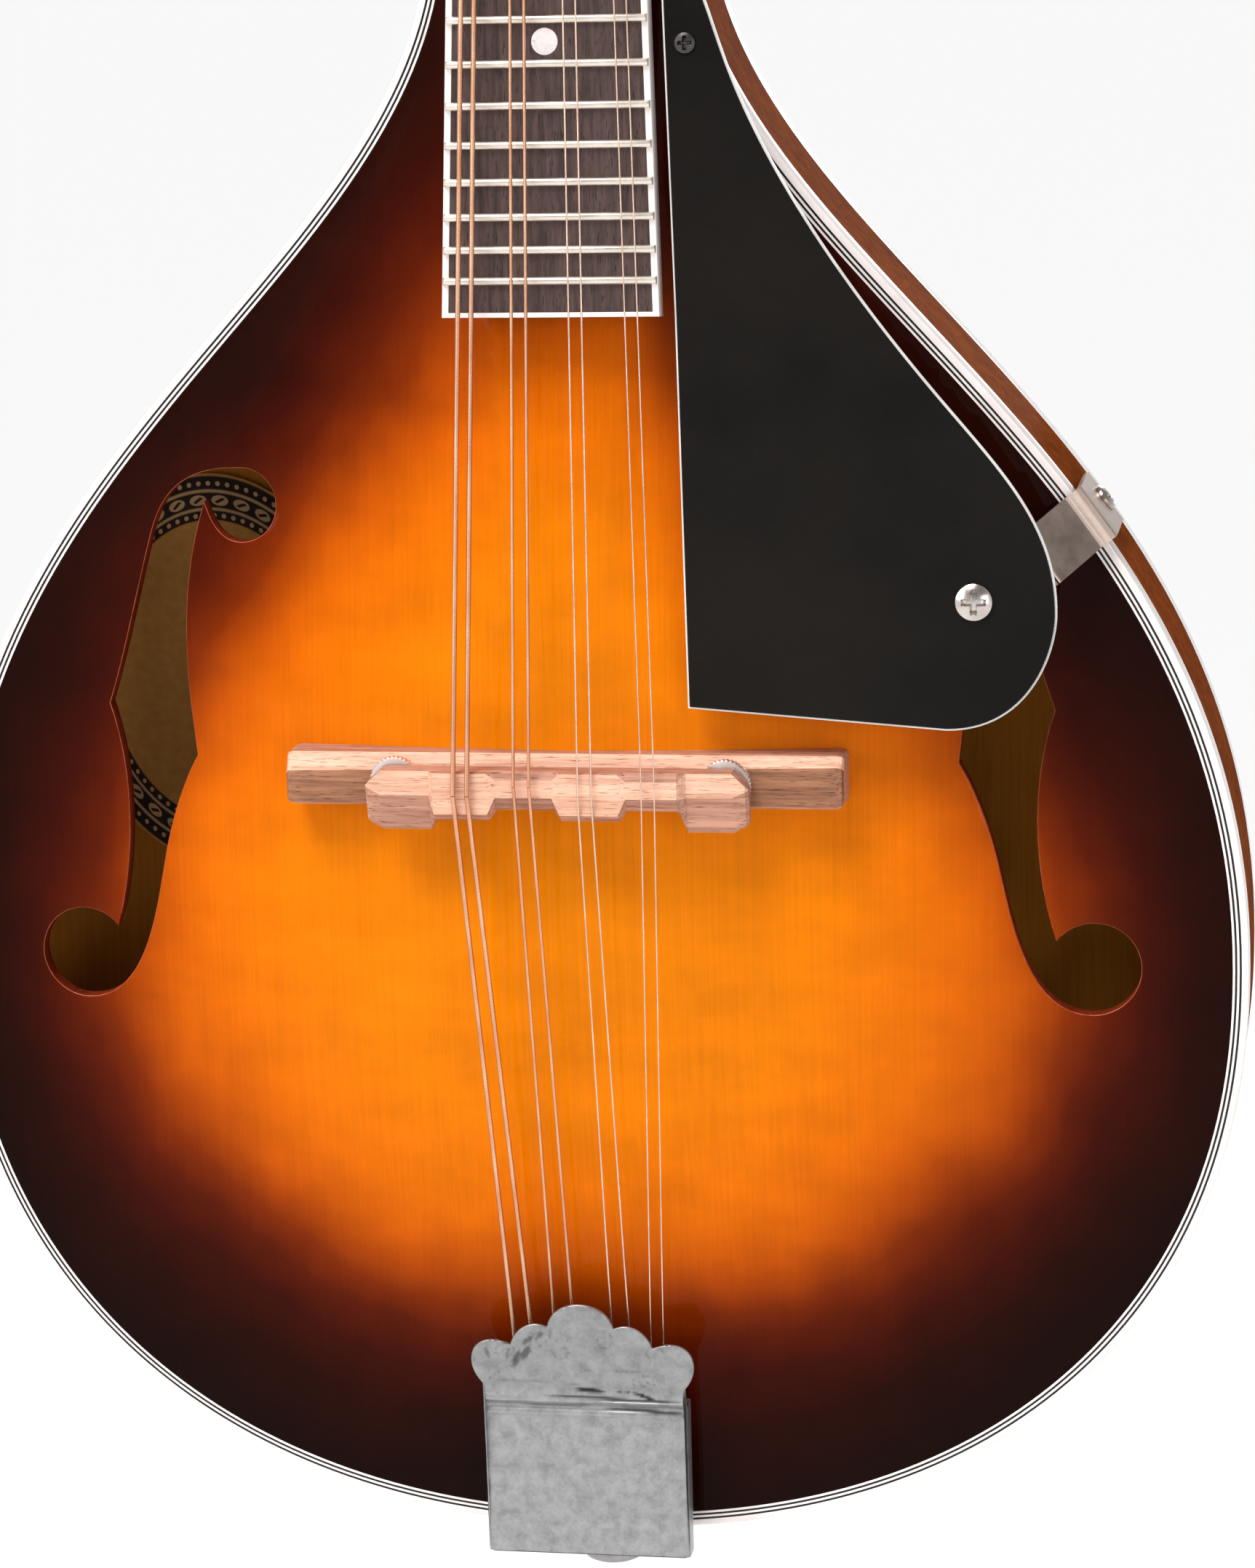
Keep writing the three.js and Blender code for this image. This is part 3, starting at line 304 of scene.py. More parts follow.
def stained_wood(name, dark, light, along, gloss=0.25, figure=0.0, streak=1.2, roughness=0.5):
    """Wood with its grain along "x" or "z", and cross figure where figure is above 0."""
    look = Look(name, roughness=roughness, coat=gloss, coat_roughness=0.06, specular=0.0)
    scale = [streak] * 3
    scale["xyz".index(along)] = 0.03
    grain = look.noise(scale, detail=6, roughness=0.62, distortion=0.4)
    slow = look.noise([s * 0.12 for s in scale], detail=3)
    mixed = look.plus(look.times(grain, 0.6), look.times(slow, 0.4))
    if figure:
        across = [0.05, 0.28, 0.28]
        across["xyz".index(along)] = 0.28
        flame = look.noise(across, detail=2, distortion=0.6)
        mixed = look.plus(mixed, look.span(flame, 0.35, 0.65, -figure, figure))
    look.colour(look.ramp(mixed, ((0.36, dark), (0.64, light))))
    look.rough(grain, roughness - 0.06, roughness + 0.1)
    look.bump(grain, 0.02 if gloss else 0.05, 0.5)
    return look.material


def open_pored(name, dark, light, pore, along):
    """Bare rosewood: streaks, and short dark pores along the grain."""
    look = Look(name, roughness=0.55, specular=0.4)
    streaks, pores = [0.9] * 3, [4.5] * 3
    streaks["xyz".index(along)] = 0.035
    pores["xyz".index(along)] = 0.22
    streak = look.noise(streaks, detail=6, roughness=0.6, distortion=0.3)
    base = look.ramp(streak, ((0.34, dark), (0.66, light)))
    spots = look.span(look.noise(pores, detail=2), 0.6, 0.68)
    look.colour(look.mix(spots, base, linear(pore)))
    look.rough(streak, 0.5, 0.66)
    look.bump(look.times(spots, -1.0), 0.08, 0.6)
    return look.material


def plastic(name, colour, other, roughness, coat=0.0, size=0.08, specular=0.35):
    """Moulded or laminated plastic: cloudy tone and a fine unevenness in its polish."""
    look = Look(name, roughness=roughness, coat=coat, coat_roughness=0.08, specular=specular)
    cloud = look.noise(size, detail=5)
    look.colour(look.ramp(cloud, ((0.35, colour), (0.65, other))))
    fine = look.noise(2.5, detail=3)
    look.rough(fine, roughness * 0.8, roughness * 1.3)
    look.bump(fine, 0.01, 0.3)
    return look.material


def metal(name, colour, other, roughness, brush=(0.5, 0.5, 0.5), scratch=0.25):
    """Plated or bare metal: uneven tone, brushed or handled surface."""
    look = Look(name, roughness=roughness, metallic=1.0)
    cloud = look.noise(0.15, detail=6, roughness=0.6)
    look.colour(look.ramp(cloud, ((0.34, other), (0.66, colour))))
    lines = look.noise(brush, detail=5, roughness=0.7)
    look.rough(look.times(look.plus(cloud, lines), 0.5), roughness * 0.7, roughness * 1.5)
    look.bump(lines, 0.02, scratch)
    return look.material


def engraved_metal_with_fold_shade(name):
    """Dull pressed nickel whose engraved lines have gone dark, and painted shade in the folds of its bend.
    One attribute marks both.
    """
    look = Look(name, roughness=0.36, metallic=0.7, specular=0.5)
    cloud = look.noise(0.3, detail=6, roughness=0.6, distortion=0.3)
    fine = look.noise(1.6, detail=4, roughness=0.6)
    mottle = look.plus(look.times(cloud, 0.75), look.times(fine, 0.25))
    plate = look.ramp(mottle, ((0.36, (138, 138, 139)), (0.5, (158, 158, 158)), (0.64, (172, 172, 172))))
    # dark in the engraved lines, and painted shade along the folds
    look.colour(look.mix(look.attribute("engraved"), plate, linear((44, 43, 44))))
    look.rough(cloud, 0.3, 0.46)
    look.bump(mottle, 0.05, 0.3)
    return look.material


def wound(name):
    """Bronze wire wound round a core: close turns along the string, which runs near z."""
    look = Look(name, roughness=0.3, metallic=1.0)
    turns = look.node("TexWave", {"bands_direction": "Z"}, Vector=look.where, Scale=1000.0, Distortion=0.0)
    tone = look.noise((0.6, 0.6, 0.05), detail=4)
    warm = look.ramp(tone, ((0.35, (226, 164, 128)), (0.65, (246, 200, 166))))
    look.colour(look.mix(turns.outputs["Fac"], look.mix(0.4, warm, linear((150, 98, 72))), warm))
    look.bump(turns.outputs["Fac"], 0.06, 0.6)
    return look.material


LABEL_CENTRE = (-84, 14)
LABEL_HALF = (31, 43)  # half its width and half its length


def label_paper():
    """A printed border of lines, dots and slit ovals round an empty middle."""
    look = Look("label_paper", roughness=0.8)
    centre = world(BODY, LABEL_CENTRE[0], 0, LABEL_CENTRE[1])
    apart = look.node("VectorMath", {"operation": "SUBTRACT"}, i0=look.where, i1=tuple(centre)).outputs[0]
    parts = look.node("SeparateXYZ", i0=apart)
    x = look.times(parts.outputs["X"], 1 / MM / LABEL_HALF[0])
    z = look.times(parts.outputs["Z"], 1 / MM / LABEL_HALF[1])
    out = look.math("SQRT", look.squares(x, z))
    turn = look.math("ARCTAN2", z, x)
    sideways = look.times(look.math("SINE", turn), float(LABEL_HALF[0]))
    upwards = look.times(look.math("COSINE", turn), float(LABEL_HALF[1]))
    pace = look.math("SQRT", look.squares(sideways, upwards))

    def between(low, high):
        """1 where the share of the way out lies between two values, with soft sides."""
        soft = 0.004
        after, before = look.span(out, low - soft, low + soft), look.span(out, high + soft, high - soft)
        return look.times(after, before)

    def spots(count, ring, long, high):
        """Ovals on a ring, as a mask, and how far across each a point lies."""
        phase = look.times(turn, count / (2 * math.pi))
        share = look.math("SUBTRACT", look.math("FRACT", phase), 0.5)
        step = look.times(pace, 2 * math.pi * ring / count / long)
        along = look.times(share, step)
        across = look.math("DIVIDE", look.math("SUBTRACT", out, ring), high)
        return look.span(look.squares(along, across), 1.15, 0.85), look.plus(along, across)

    gold, ink, plain = linear((226, 184, 128)), linear((44, 24, 20)), linear((214, 150, 66))
    fibre = look.noise(0.5, detail=5)
    colour = look.mix(look.span(fibre, 0.3, 0.7), plain, linear((228, 168, 84)))
    colour = look.mix(between(0.765, 0.985), colour, ink)
    for low, high in ((0.813, 0.827), (0.903, 0.918)):
        colour = look.mix(between(low, high), colour, gold)
    for count, ring in ((76, 0.789), (90, 0.948)):
        colour = look.mix(spots(count, ring, 0.5, 0.012)[0], colour, gold)
    oval, slant = spots(36, 0.865, 1.8, 0.026)
    colour = look.mix(oval, colour, gold)
    narrow = look.span(look.math("ABSOLUTE", slant), 0.42, 0.26)
    slit = look.times(spots(36, 0.865, 1.2, 0.017)[0], narrow)
    look.colour(look.mix(slit, colour, ink))
    look.rough(fibre, 0.72, 0.9)
    look.bump(fibre, 0.03, 0.3)
    return look.material


def pearl(name):
    """Shell inlay: cloudy bands of white, grey and rose."""
    look = Look(name, roughness=0.15, coat=0.6)
    swirl = look.noise((0.35, 0.35, 0.6), detail=4, distortion=2.0)
    bands = ((0.3, (206, 202, 206)), (0.45, (238, 232, 228)))
    bands += ((0.58, (226, 214, 216)), (0.72, (246, 243, 238)))
    look.colour(look.ramp(swirl, bands))
    look.rough(swirl, 0.12, 0.3)
    look.bump(swirl, 0.01, 0.3)
    return look.material


TOP_STAIN = (
    (0.0, (228, 126, 5)), (0.38, (225, 119, 3)), (0.48, (220, 110, 3)), (0.56, (212, 100, 3)),
    (0.62, (191, 83, 3)), (0.67, (160, 63, 3)), (0.72, (118, 39, 3)), (0.77, (83, 22, 3)),
    (0.83, (56, 11, 3)), (0.90, (36, 7, 3)), (1.0, (22, 6, 3))
)
BACK_STAIN = (
    (0.0, (176, 92, 34)), (0.55, (160, 80, 30)), (0.75, (112, 50, 20)), (0.9, (70, 28, 12)),
    (1.0, (52, 20, 10))
)
LOOKS = {
    "top": sunburst("sunburst_top", TOP_STAIN),
    "back": sunburst("sunburst_back", BACK_STAIN),
    "maple": stained_wood("stained_maple", (104, 46, 11), (142, 68, 17), "x", 0.02, 0.05, streak=0.5),
    "neck": stained_wood("stained_neck", (78, 30, 12), (118, 54, 24), "z", figure=0.02, streak=0.8),
    "spruce": stained_wood("bare_spruce", (178, 124, 62), (208, 156, 88), "z", gloss=0.0, roughness=0.7),
    "inside": stained_wood("inside_back", (198, 124, 40), (220, 146, 56), "z", gloss=0.0, roughness=0.7),
    # the f-holes' rounded edge is painted paler as a highlight, and their walls darker as painted shade
    "rim": plastic("cut_edge_painted_highlight", (148, 62, 34), (188, 96, 62), roughness=0.4, size=0.4),
    "wall": stained_wood("cut_wall_painted_shade", (84, 26, 14), (130, 48, 24), "z", gloss=0.0, roughness=0.6),
    "ivory": plastic("ivory_binding", (238, 226, 222), (250, 242, 238), roughness=0.22, coat=0.6),
    "ply": plastic("black_ply", (16, 14, 14), (26, 22, 22), roughness=0.3),
    "guard": plastic("black_guard", (14, 12, 10), (24, 20, 17), roughness=0.28, size=0.02, specular=0.12),
    "guard_edge": plastic("guard_white", (222, 220, 216), (240, 238, 234), roughness=0.3),
    "veneer": stained_wood("black_veneer", (12, 10, 9), (24, 20, 18), "z", streak=1.0),
    "rosewood": open_pored("rosewood", (50, 35, 32), (86, 64, 59), (26, 18, 16), "z"),
    "bridge": open_pored("bridge_rosewood", (158, 106, 84), (206, 152, 128), (110, 66, 48), "x"),
    # darker and paler copies of the bridge's rosewood: painted shade on the base's top, painted highlights
    # on its sloped neck-side face and on the saddle's top
    "bridge_painted_shade": open_pored("bridge_rosewood_painted_shade", (120, 74, 48), (172, 118, 86), (84, 50, 32), "x"),
    "bridge_painted_highlight": open_pored(
        "bridge_rosewood_painted_highlight", (206, 150, 122), (246, 196, 168), (176, 116, 90), "x"
    ),
    "bone": plastic("bone", (226, 216, 190), (244, 238, 220), roughness=0.35, size=0.25),
    "nickel": metal("nickel", (226, 218, 212), (196, 186, 180), roughness=0.2),
    "pin": metal("pin_nickel", (168, 166, 166), (136, 134, 134), roughness=0.3),
    # a paler, whiter copy of the nickel for the thumbwheels, as a painted highlight on their edges
    "wheel_painted_highlight": metal("nickel_painted_highlight", (250, 246, 242), (232, 226, 222), roughness=0.42),
    "bracket": metal("bracket_nickel", (204, 184, 172), (178, 160, 149), roughness=0.34, brush=(0.4, 3, 3)),
    "tail": engraved_metal_with_fold_shade("tail_nickel"),
    "fret": metal(
        "fret_nickel", (244, 234, 222), (234, 223, 210), 0.36, brush=(0.05, 0.8, 0.8), scratch=0.05
    ),
    "steel": metal("dark_steel", (92, 88, 88), (60, 56, 56), roughness=0.4),
    "brass": metal("brass", (214, 172, 96), (176, 132, 66), roughness=0.3),
    "wound": wound("wound_bronze"),
    "plain": metal("plain_wire", (238, 208, 188), (214, 180, 160), roughness=0.22, brush=(4, 4, 0.2)),
    "button": pearl("button_pearl"),
    "pearl": pearl("dot_pearl"),
    "label": label_paper(),
}


# ------------------------------------------------------------------ pieces
SHARP = 35  # degrees between two faces from which their edge shows


def smooth(mesh, degrees=SHARP):
    mesh.polygons.foreach_set("use_smooth", [True] * len(mesh.polygons))
    mesh.set_sharp_from_angle(angle=math.radians(degrees))


def show(name, data):
    made = bpy.data.objects.new(name, data)
    bpy.context.scene.collection.objects.link(made)
    return made


def eased(made, bevel, degrees):
    """Rounds the edges of an object that are sharper than an angle."""
    ease = made.modifiers.new("ease", "BEVEL")
    ease.width = bevel * MM
    ease.segments = 2
    ease.limit_method = "ANGLE"
    ease.angle_limit = math.radians(degrees)


def mesh_piece(
    name, points, faces, looks, place=BODY, body="root",
    marks=None, slot=None, stands_for=(), sharp=SHARP, painted=None,
):
    """A closed mesh of (x, height, z) points in millimetres.

    marks gives each face's look, by its number, and painted each point's value of an attribute.
    """
    mesh = bpy.data.meshes.new(name)
    turned = np.array([(x, -h, z) for x, h, z in points]) * MM
    turned = turned @ np.array(place.to_3x3()).T + np.array(place.translation)
    mesh.from_pydata(turned.tolist(), [], [tuple(int(i) for i in f) for f in faces])
    for look in looks:
        mesh.materials.append(LOOKS[look])
    if marks is not None:
        mesh.polygons.foreach_set("material_index", np.asarray(marks, dtype=np.int32))
    for key, values in (painted or {}).items():
        data = mesh.attributes.new(key, "FLOAT", "POINT").data
        data.foreach_set("value", np.asarray(values, dtype=np.float32))
    work = bmesh.new()
    work.from_mesh(mesh)
    bmesh.ops.recalc_face_normals(work, faces=work.faces)
    work.to_mesh(mesh)
    work.free()
    smooth(mesh, sharp)
    made = show(name, mesh)
    if body:
        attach(made, body)
    if stands_for:
        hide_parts(*stands_for)
    return made


def skin(rings, capped=True):
    """Points and faces over equal rings of points, with a fan over each end."""
    rings = np.asarray(rings, float)
    count, around = rings.shape[:2]
    points = rings.reshape(-1, 3).tolist()
    faces = []
    for k in range(count - 1):
        for i in range(around):
            j = (i + 1) % around
            a, b = k * around, (k + 1) * around
            faces.append((a + i, a + j, b + j, b + i))
    if capped:
        for k in (0, count - 1):
            centre = len(points)
            points.append(rings[k].mean(0).tolist())
            faces += [(k * around + i, k * around + (i + 1) % around, centre) for i in range(around)]
    return points, faces


def loft(name, rings, look, **more):
    """A piece of one look over equal rings of points."""
    points, faces = skin(rings)
    return mesh_piece(name, points, faces, (look,), **more)


def ring_points(radius, height, sides, axis, centre, ripple):
    """A circle at a height along an axis: "front" is the frame's height, "side" its x, "along" its z."""
    turn = np.arange(sides) * 2 * math.pi / sides
    r = radius + (ripple(turn, height) if ripple else 0 * turn)
    u, v, w = r * np.cos(turn), r * np.sin(turn), np.full(sides, float(height))
    order = {"front": (u, w, v), "side": (w, u, v), "along": (u, v, w)}[axis]
    return np.array(order).T + np.array(centre, float)


def turned_piece(name, profile, look, axis="front", centre=(0, 0, 0), sides=32, ripple=None, **more):
    """A lathe piece of (radius, height) pairs that starts and ends on its axis."""
    rings = [ring_points(max(r, 0.01), h, sides, axis, centre, ripple) for r, h in profile]
    return loft(name, rings, look, **more)


def bezier(start, first, second, end, count):
    t = np.linspace(0, 1, count + 1)[1:, None]
    a, b, c, d = (np.array(p, float) for p in (start, first, second, end))
    return (1 - t) ** 3 * a + 3 * t * (1 - t) ** 2 * b + 3 * t**2 * (1 - t) * c + t**3 * d


def arc(centre, radius, start, end, count):
    turn = np.radians(np.linspace(start, end, count + 1))
    return np.c_[centre[0] + radius * np.cos(turn), centre[1] + radius * np.sin(turn)]


def outline(start, *pieces, count=16):
    """A loop from its start through Bezier pieces (three points each) and lines (one point)."""
    points = [np.array([start], float)]
    for part in pieces:
        if isinstance(part, np.ndarray):
            points.append(part)
        elif len(part) == 3:
            points.append(bezier(points[-1][-1], *part, count=count))
        else:
            points.append(np.array([part], float))
    loop = np.concatenate(points)
    apart = np.linalg.norm(loop - np.roll(loop, 1, 0), axis=1) > 0.02
    return loop[apart]


def area(loop):
    x, z = loop.T
    return 0.5 * float(np.sum(x * np.roll(z, -1) - np.roll(x, -1) * z))


def offset(loop, distance):
    """A closed loop moved to its left, which is inwards where it runs anticlockwise."""
    before, after = loop - np.roll(loop, 1, 0), np.roll(loop, -1, 0) - loop
    left = [np.c_[-d[:, 1], d[:, 0]] / np.linalg.norm(d, axis=1)[:, None] for d in (before, after)]
    middle = left[0] + left[1]
    middle /= np.maximum(np.linalg.norm(middle, axis=1), 1e-6)[:, None]
    spread = np.maximum(np.sum(middle * left[0], axis=1), 0.45)
    return loop + middle * (distance / spread)[:, None]


def inside(points, loop):
    """Which points lie inside a loop."""
    x, z = points.T
    result = np.zeros(len(points), bool)
    for (x0, z0), (x1, z1) in zip(loop, np.roll(loop, -1, 0)):
        crosses = (z0 > z) != (z1 > z)
        with np.errstate(divide="ignore", invalid="ignore"):
            result ^= crosses & (x < (x1 - x0) * (z - z0) / (z1 - z0) + x0)
    return result


def within(points, loops):
    """Which points lie inside the first loop and outside the others."""
    keep = inside(points, loops[0])
    for hole in loops[1:]:
        keep &= ~inside(points, hole)
    return keep


WIDE_SPACING = 5  # above it a ring of points beside the rounded edge keeps the face's shading even
SUPPORT = 0.3  # how far that ring lies from the rounding


def panel(
    name, edge_loop, top, bottom, looks, edge, holes=(),
    steps=3, spacing=3.0, rim_outside=True, painted=None, **more,
):
    """A plate between two surfaces, given as heights over x and z, with a rounded edge.

    looks are those of its face, its rounded edge, its wall and its underside. Where rim_outside is False,
    only the holes get the look of the rounded edge. painted gives attributes as values over x and z.
    """
    loops = [edge_loop if area(edge_loop) > 0 else edge_loop[::-1]]
    loops += [h if area(h) < 0 else h[::-1] for h in holes]
    turns = [math.pi / 2 * k / steps for k in range(steps + 1)]
    rings_at = [(edge * (1 - math.cos(turn)), edge * (1 - math.sin(turn)), True) for turn in turns]
    if spacing > WIDE_SPACING:
        rings_at.append((edge + SUPPORT, 0.0, False))
    flat, drops, links, starts, rounded = [], [], [], [], []
    for loop in loops:
        starts.append(len(flat))
        for inset, drop, is_round in rings_at:
            ring = offset(loop, inset)
            first = len(flat)
            flat += ring.tolist()
            drops += [drop] * len(ring)
            rounded += [is_round] * len(ring)
            links += [(first + i, first + (i + 1) % len(ring)) for i in range(len(ring))]
    on_rings = np.array(flat)

    # rows of points between the rings, none of them close to a ring
    low, high = loops[0].min(0), loops[0].max(0)
    grid = []
    for number, z in enumerate(np.arange(low[1], high[1], spacing * 0.866)):
        grid += [(x, z) for x in np.arange(low[0] + (number % 2) * spacing / 2, high[0], spacing)]
    grid = np.array(grid).reshape(-1, 2)
    grid = grid[within(grid, loops)]
    if len(grid):
        nearest = np.full(len(grid), np.inf)
        for part in np.array_split(on_rings, max(1, len(on_rings) // 200)):
            away = np.linalg.norm(grid[:, None] - part[None], axis=2).min(1)
            nearest = np.minimum(nearest, away)
        flat += grid[nearest > spacing * 0.55].tolist()
    drops += [0.0] * (len(flat) - len(drops))

    verts, _, tris, origins, _, _ = delaunay_2d_cdt([Vector(p) for p in flat], links, [], 0, 1e-7)
    verts = np.array([tuple(v) for v in verts])
    drop = np.array([drops[o[0]] if o else 0.0 for o in origins])
    on_ring = np.array([bool(o) and o[0] < len(on_rings) and rounded[o[0]] for o in origins])
    tris = np.array([t for t in tris if len(t) == 3])
    tris = tris[within(verts[tris].mean(1), loops)]
    on_edge = on_ring[tris].all(1)
    outer_end = starts[1] if holes else len(on_rings)
    on_outer = np.array([bool(o) and o[0] < outer_end for o in origins])[tris].all(1)

    # face, underside and the walls between them
    count = len(verts)
    x, z = verts.T
    points = np.r_[np.c_[x, top(x, z) - drop, z], np.c_[x, bottom(x, z) + drop, z]]
    new_index = {o: i for i, origin in enumerate(origins) for o in origin}
    walls = []
    for start, loop in zip(starts, loops):
        ids = [new_index[start + i] for i in range(len(loop))]
        walls += [(a, b, b + count, a + count) for a, b in zip(ids, ids[1:] + ids[:1]) if a != b]
    faces = tris.tolist() + (tris[:, ::-1] + count).tolist() + walls
    face, rim, wall, under = range(4) if len(looks) == 4 else (0, 0, 0, 0)
    lipped = on_edge & (drop[tris].max(1) > 0.3 * edge)
    if not rim_outside:
        lipped &= ~on_outer
    marks = np.r_[np.where(lipped, rim, face), np.where(on_edge, wall, under), np.full(len(walls), wall)]

    # points that no face uses are left out
    used = np.unique(np.concatenate([np.ravel(f) for f in faces]))
    renumber = np.full(2 * count, -1)
    renumber[used] = np.arange(len(used))
    faces = [tuple(renumber[i] for i in f) for f in faces]
    values = {key: np.tile(f(x, z), 2)[used] for key, f in (painted or {}).items()}
    return mesh_piece(name, points[used], faces, looks, marks=marks, painted=values, **more)


def level(height):
    """A surface at one height."""
    return lambda x, z: np.full(np.shape(x), float(height))


def strip_of(points, thickness):
    """A line of points given a thickness: one side, then the other side backwards."""
    points = np.asarray(points, float)
    along = np.gradient(points, axis=0)
    along /= np.linalg.norm(along, axis=1)[:, None]
    left = np.c_[-along[:, 1], along[:, 0]]
    return np.r_[points + left * thickness / 2, (points - left * thickness / 2)[::-1]]


def tube(path, radius, sides):
    """Rings square to a path at each of its points."""
    path = np.asarray(path, float)
    radii = np.broadcast_to(radius, len(path))
    along = np.gradient(path, axis=0)
    along /= np.linalg.norm(along, axis=1)[:, None]
    side = np.cross(along[0], (0.3, 0.9, 0.2))
    rings = []
    for p, a, r in zip(path, along, radii):
        side = side - a * np.dot(side, a)
        side /= np.linalg.norm(side)
        up = np.cross(a, side)
        turn = np.arange(sides)[:, None] * 2 * math.pi / sides
        rings.append(p + r * (np.cos(turn) * side + np.sin(turn) * up))
    return skin(rings)


def wire(name, path, radius, look, place=BODY, sides=10, **more):
    points, faces = tube(path, radius, sides)
    return mesh_piece(name, points, faces, (look,), place=place, **more)


def softened(node, look, bevel):
    """A CAD node as it is, with a material and its edges eased."""
    made = frame["nodes"][node]
    made.data.materials.clear()
    made.data.materials.append(LOOKS[look])
    if bevel:
        eased(made, bevel, 40)
    return made


# ------------------------------------------------------------------ the body's outline and arch
def treble_side(count):
    """From the middle of the tail to the shoulder, as x and z."""
    turn = np.linspace(0, math.pi / 2, count)
    power = 2 / TAIL_ROUNDNESS
    lower_x = BODY_HALF_WIDTH * np.sin(turn) ** power
    lower_z = WIDEST_Z + (TAIL_Z - WIDEST_Z) * np.maximum(np.cos(turn), 0) ** power
    lower = np.c_[lower_x, lower_z]
    shoulder = (SHOULDER_HALF_WIDTH, SHOULDER_Z)
    upper = bezier(lower[-1], (BODY_HALF_WIDTH, 68.8), (28.3, 102.7), shoulder, count)
    return np.r_[lower, upper]


def side_line(inset, count=64):
    """From the bass shoulder round the tail to the treble shoulder, moved inwards."""
    half = treble_side(count)
    whole = np.r_[half[:0:-1] * (-1, 1), half]
    along = np.gradient(whole, axis=0)
    along /= np.linalg.norm(along, axis=1)[:, None]
    moved = whole + np.c_[-along[:, 1], along[:, 0]] * inset
    moved[[0, -1], 1] = SHOULDER_Z - GAP
    return moved


def body_loop(inset, count=64):
    """The outline as a closed loop."""
    line = side_line(inset, count)
    across = np.linspace(line[-1], line[0], 14)[1:-1]
    return np.r_[line, across]


def share_of(loop, centre):
    """A function that says how far out a point lies, from 0 at a centre to 1 on a loop round it."""
    away = loop - np.array(centre, float)
    turns = np.arctan2(away[:, 1], away[:, 0])
    order = np.argsort(turns)
    turns, radii = turns[order], np.linalg.norm(away, axis=1)[order]

    def share(x, z):
        x, z = x - centre[0], z - centre[1]
        return np.hypot(x, z) / np.interp(np.arctan2(z, x), turns, radii, period=2 * math.pi)

    return share


body_share = share_of(body_loop(BINDING_WIDTH + GAP, 400), (0, ARCH_CENTRE_Z))


def arch(x, z):
    return (1 - np.minimum(body_share(x, z), 1) ** 2) ** 2


def burst(x, z):
    """How far the dark edge reaches in: softer toward the neck and a little wider at the tail."""
    share = body_share(x, z)
    neck = np.clip((z - 30) / 70, 0, 1)
    tail = np.clip((-z - 50) / 60, 0, 1)
    return share + neck * (0.02 - 0.3 * (share - 0.66)) + 0.035 * tail


def surface(base, rise):
    """A height over x and z that follows the arch."""
    return lambda x, z: base + rise * arch(x, z)


def f_hole():
    return outline(
        (78.1, 4.3),
        ((79.4, 16), (82.6, 36), (75.4, 56.2)),
        ((73.6, 50.6), (71.4, 48.2), (67.6, 48.1)),
        arc((67.6, 55.6), 7.5, -90, -270, 28),
        ((77.5, 63.2), (84, 60), (87, 49.5)),
        ((90.5, 37.5), (93.6, 24), (97, 14.5)),
        ((92, 0), (92.6, -18), (97.2, -32.5)),
        arc((104.6, -38.4), 9.5, 141, -90, 32),
        ((91.8, -47.9), (88.6, -29), (86.4, -19)),
        ((84.6, -10), (81.6, -1.5), (78.1, 4.3)),
    )


# ------------------------------------------------------------------ plates, ribs and bindings
PLY = 0.45
PLY_DEPTH = 1.5
RIB_SEAM = 0.15  # half the seam between the ribs at the tail
TOP_PLIES = ("ply", "ivory", "ply", "ivory")


def plates():
    hole = f_hole()
    # the f-holes take the painted highlight on their rounded edge and the painted shade on their walls
    panel(
        "soundboard_top", body_loop(BINDING_WIDTH + len(TOP_PLIES) * PLY), surface(0, TOP_ARCH),
        surface(-PLATE_THICKNESS, TOP_ARCH), ("top", "rim", "wall", "spruce"),
        holes=(hole, hole * (-1, 1)), rim_outside=False, edge=0.25, spacing=2.6, painted={"burst": burst},
        slot="sunburst_top", stands_for=("soundboard",)
    )
    panel(
        "back_carved", body_loop(BINDING_WIDTH + PLY), surface(PLATE_THICKNESS - RIM_DEPTH, -BACK_ARCH),
        surface(-RIM_DEPTH, -BACK_ARCH), ("inside", "back", "back", "back"), edge=0.3, spacing=3.2,
        painted={"burst": burst}, slot="maple", stands_for=("back_plate",)
    )


def band(name, section, look, keep=slice(None), end_x=None, **more):
    """A strip that follows the body's outline, or the part to keep. section is its loop of (inset, height).

    end_x moves its end at the middle of the tail to an x.
    """
    lines = [side_line(inset)[keep] for inset, _ in section]
    placed = [np.c_[line[:, 0], np.full(len(line), h), line[:, 1]] for line, (_, h) in zip(lines, section)]
    rings = np.stack(placed, 1)
    if end_x is not None:
        seam = -1 if end_x < 0 else 0
        rings[seam, :, 0] = end_x
    return loft(name, rings, look, **more)


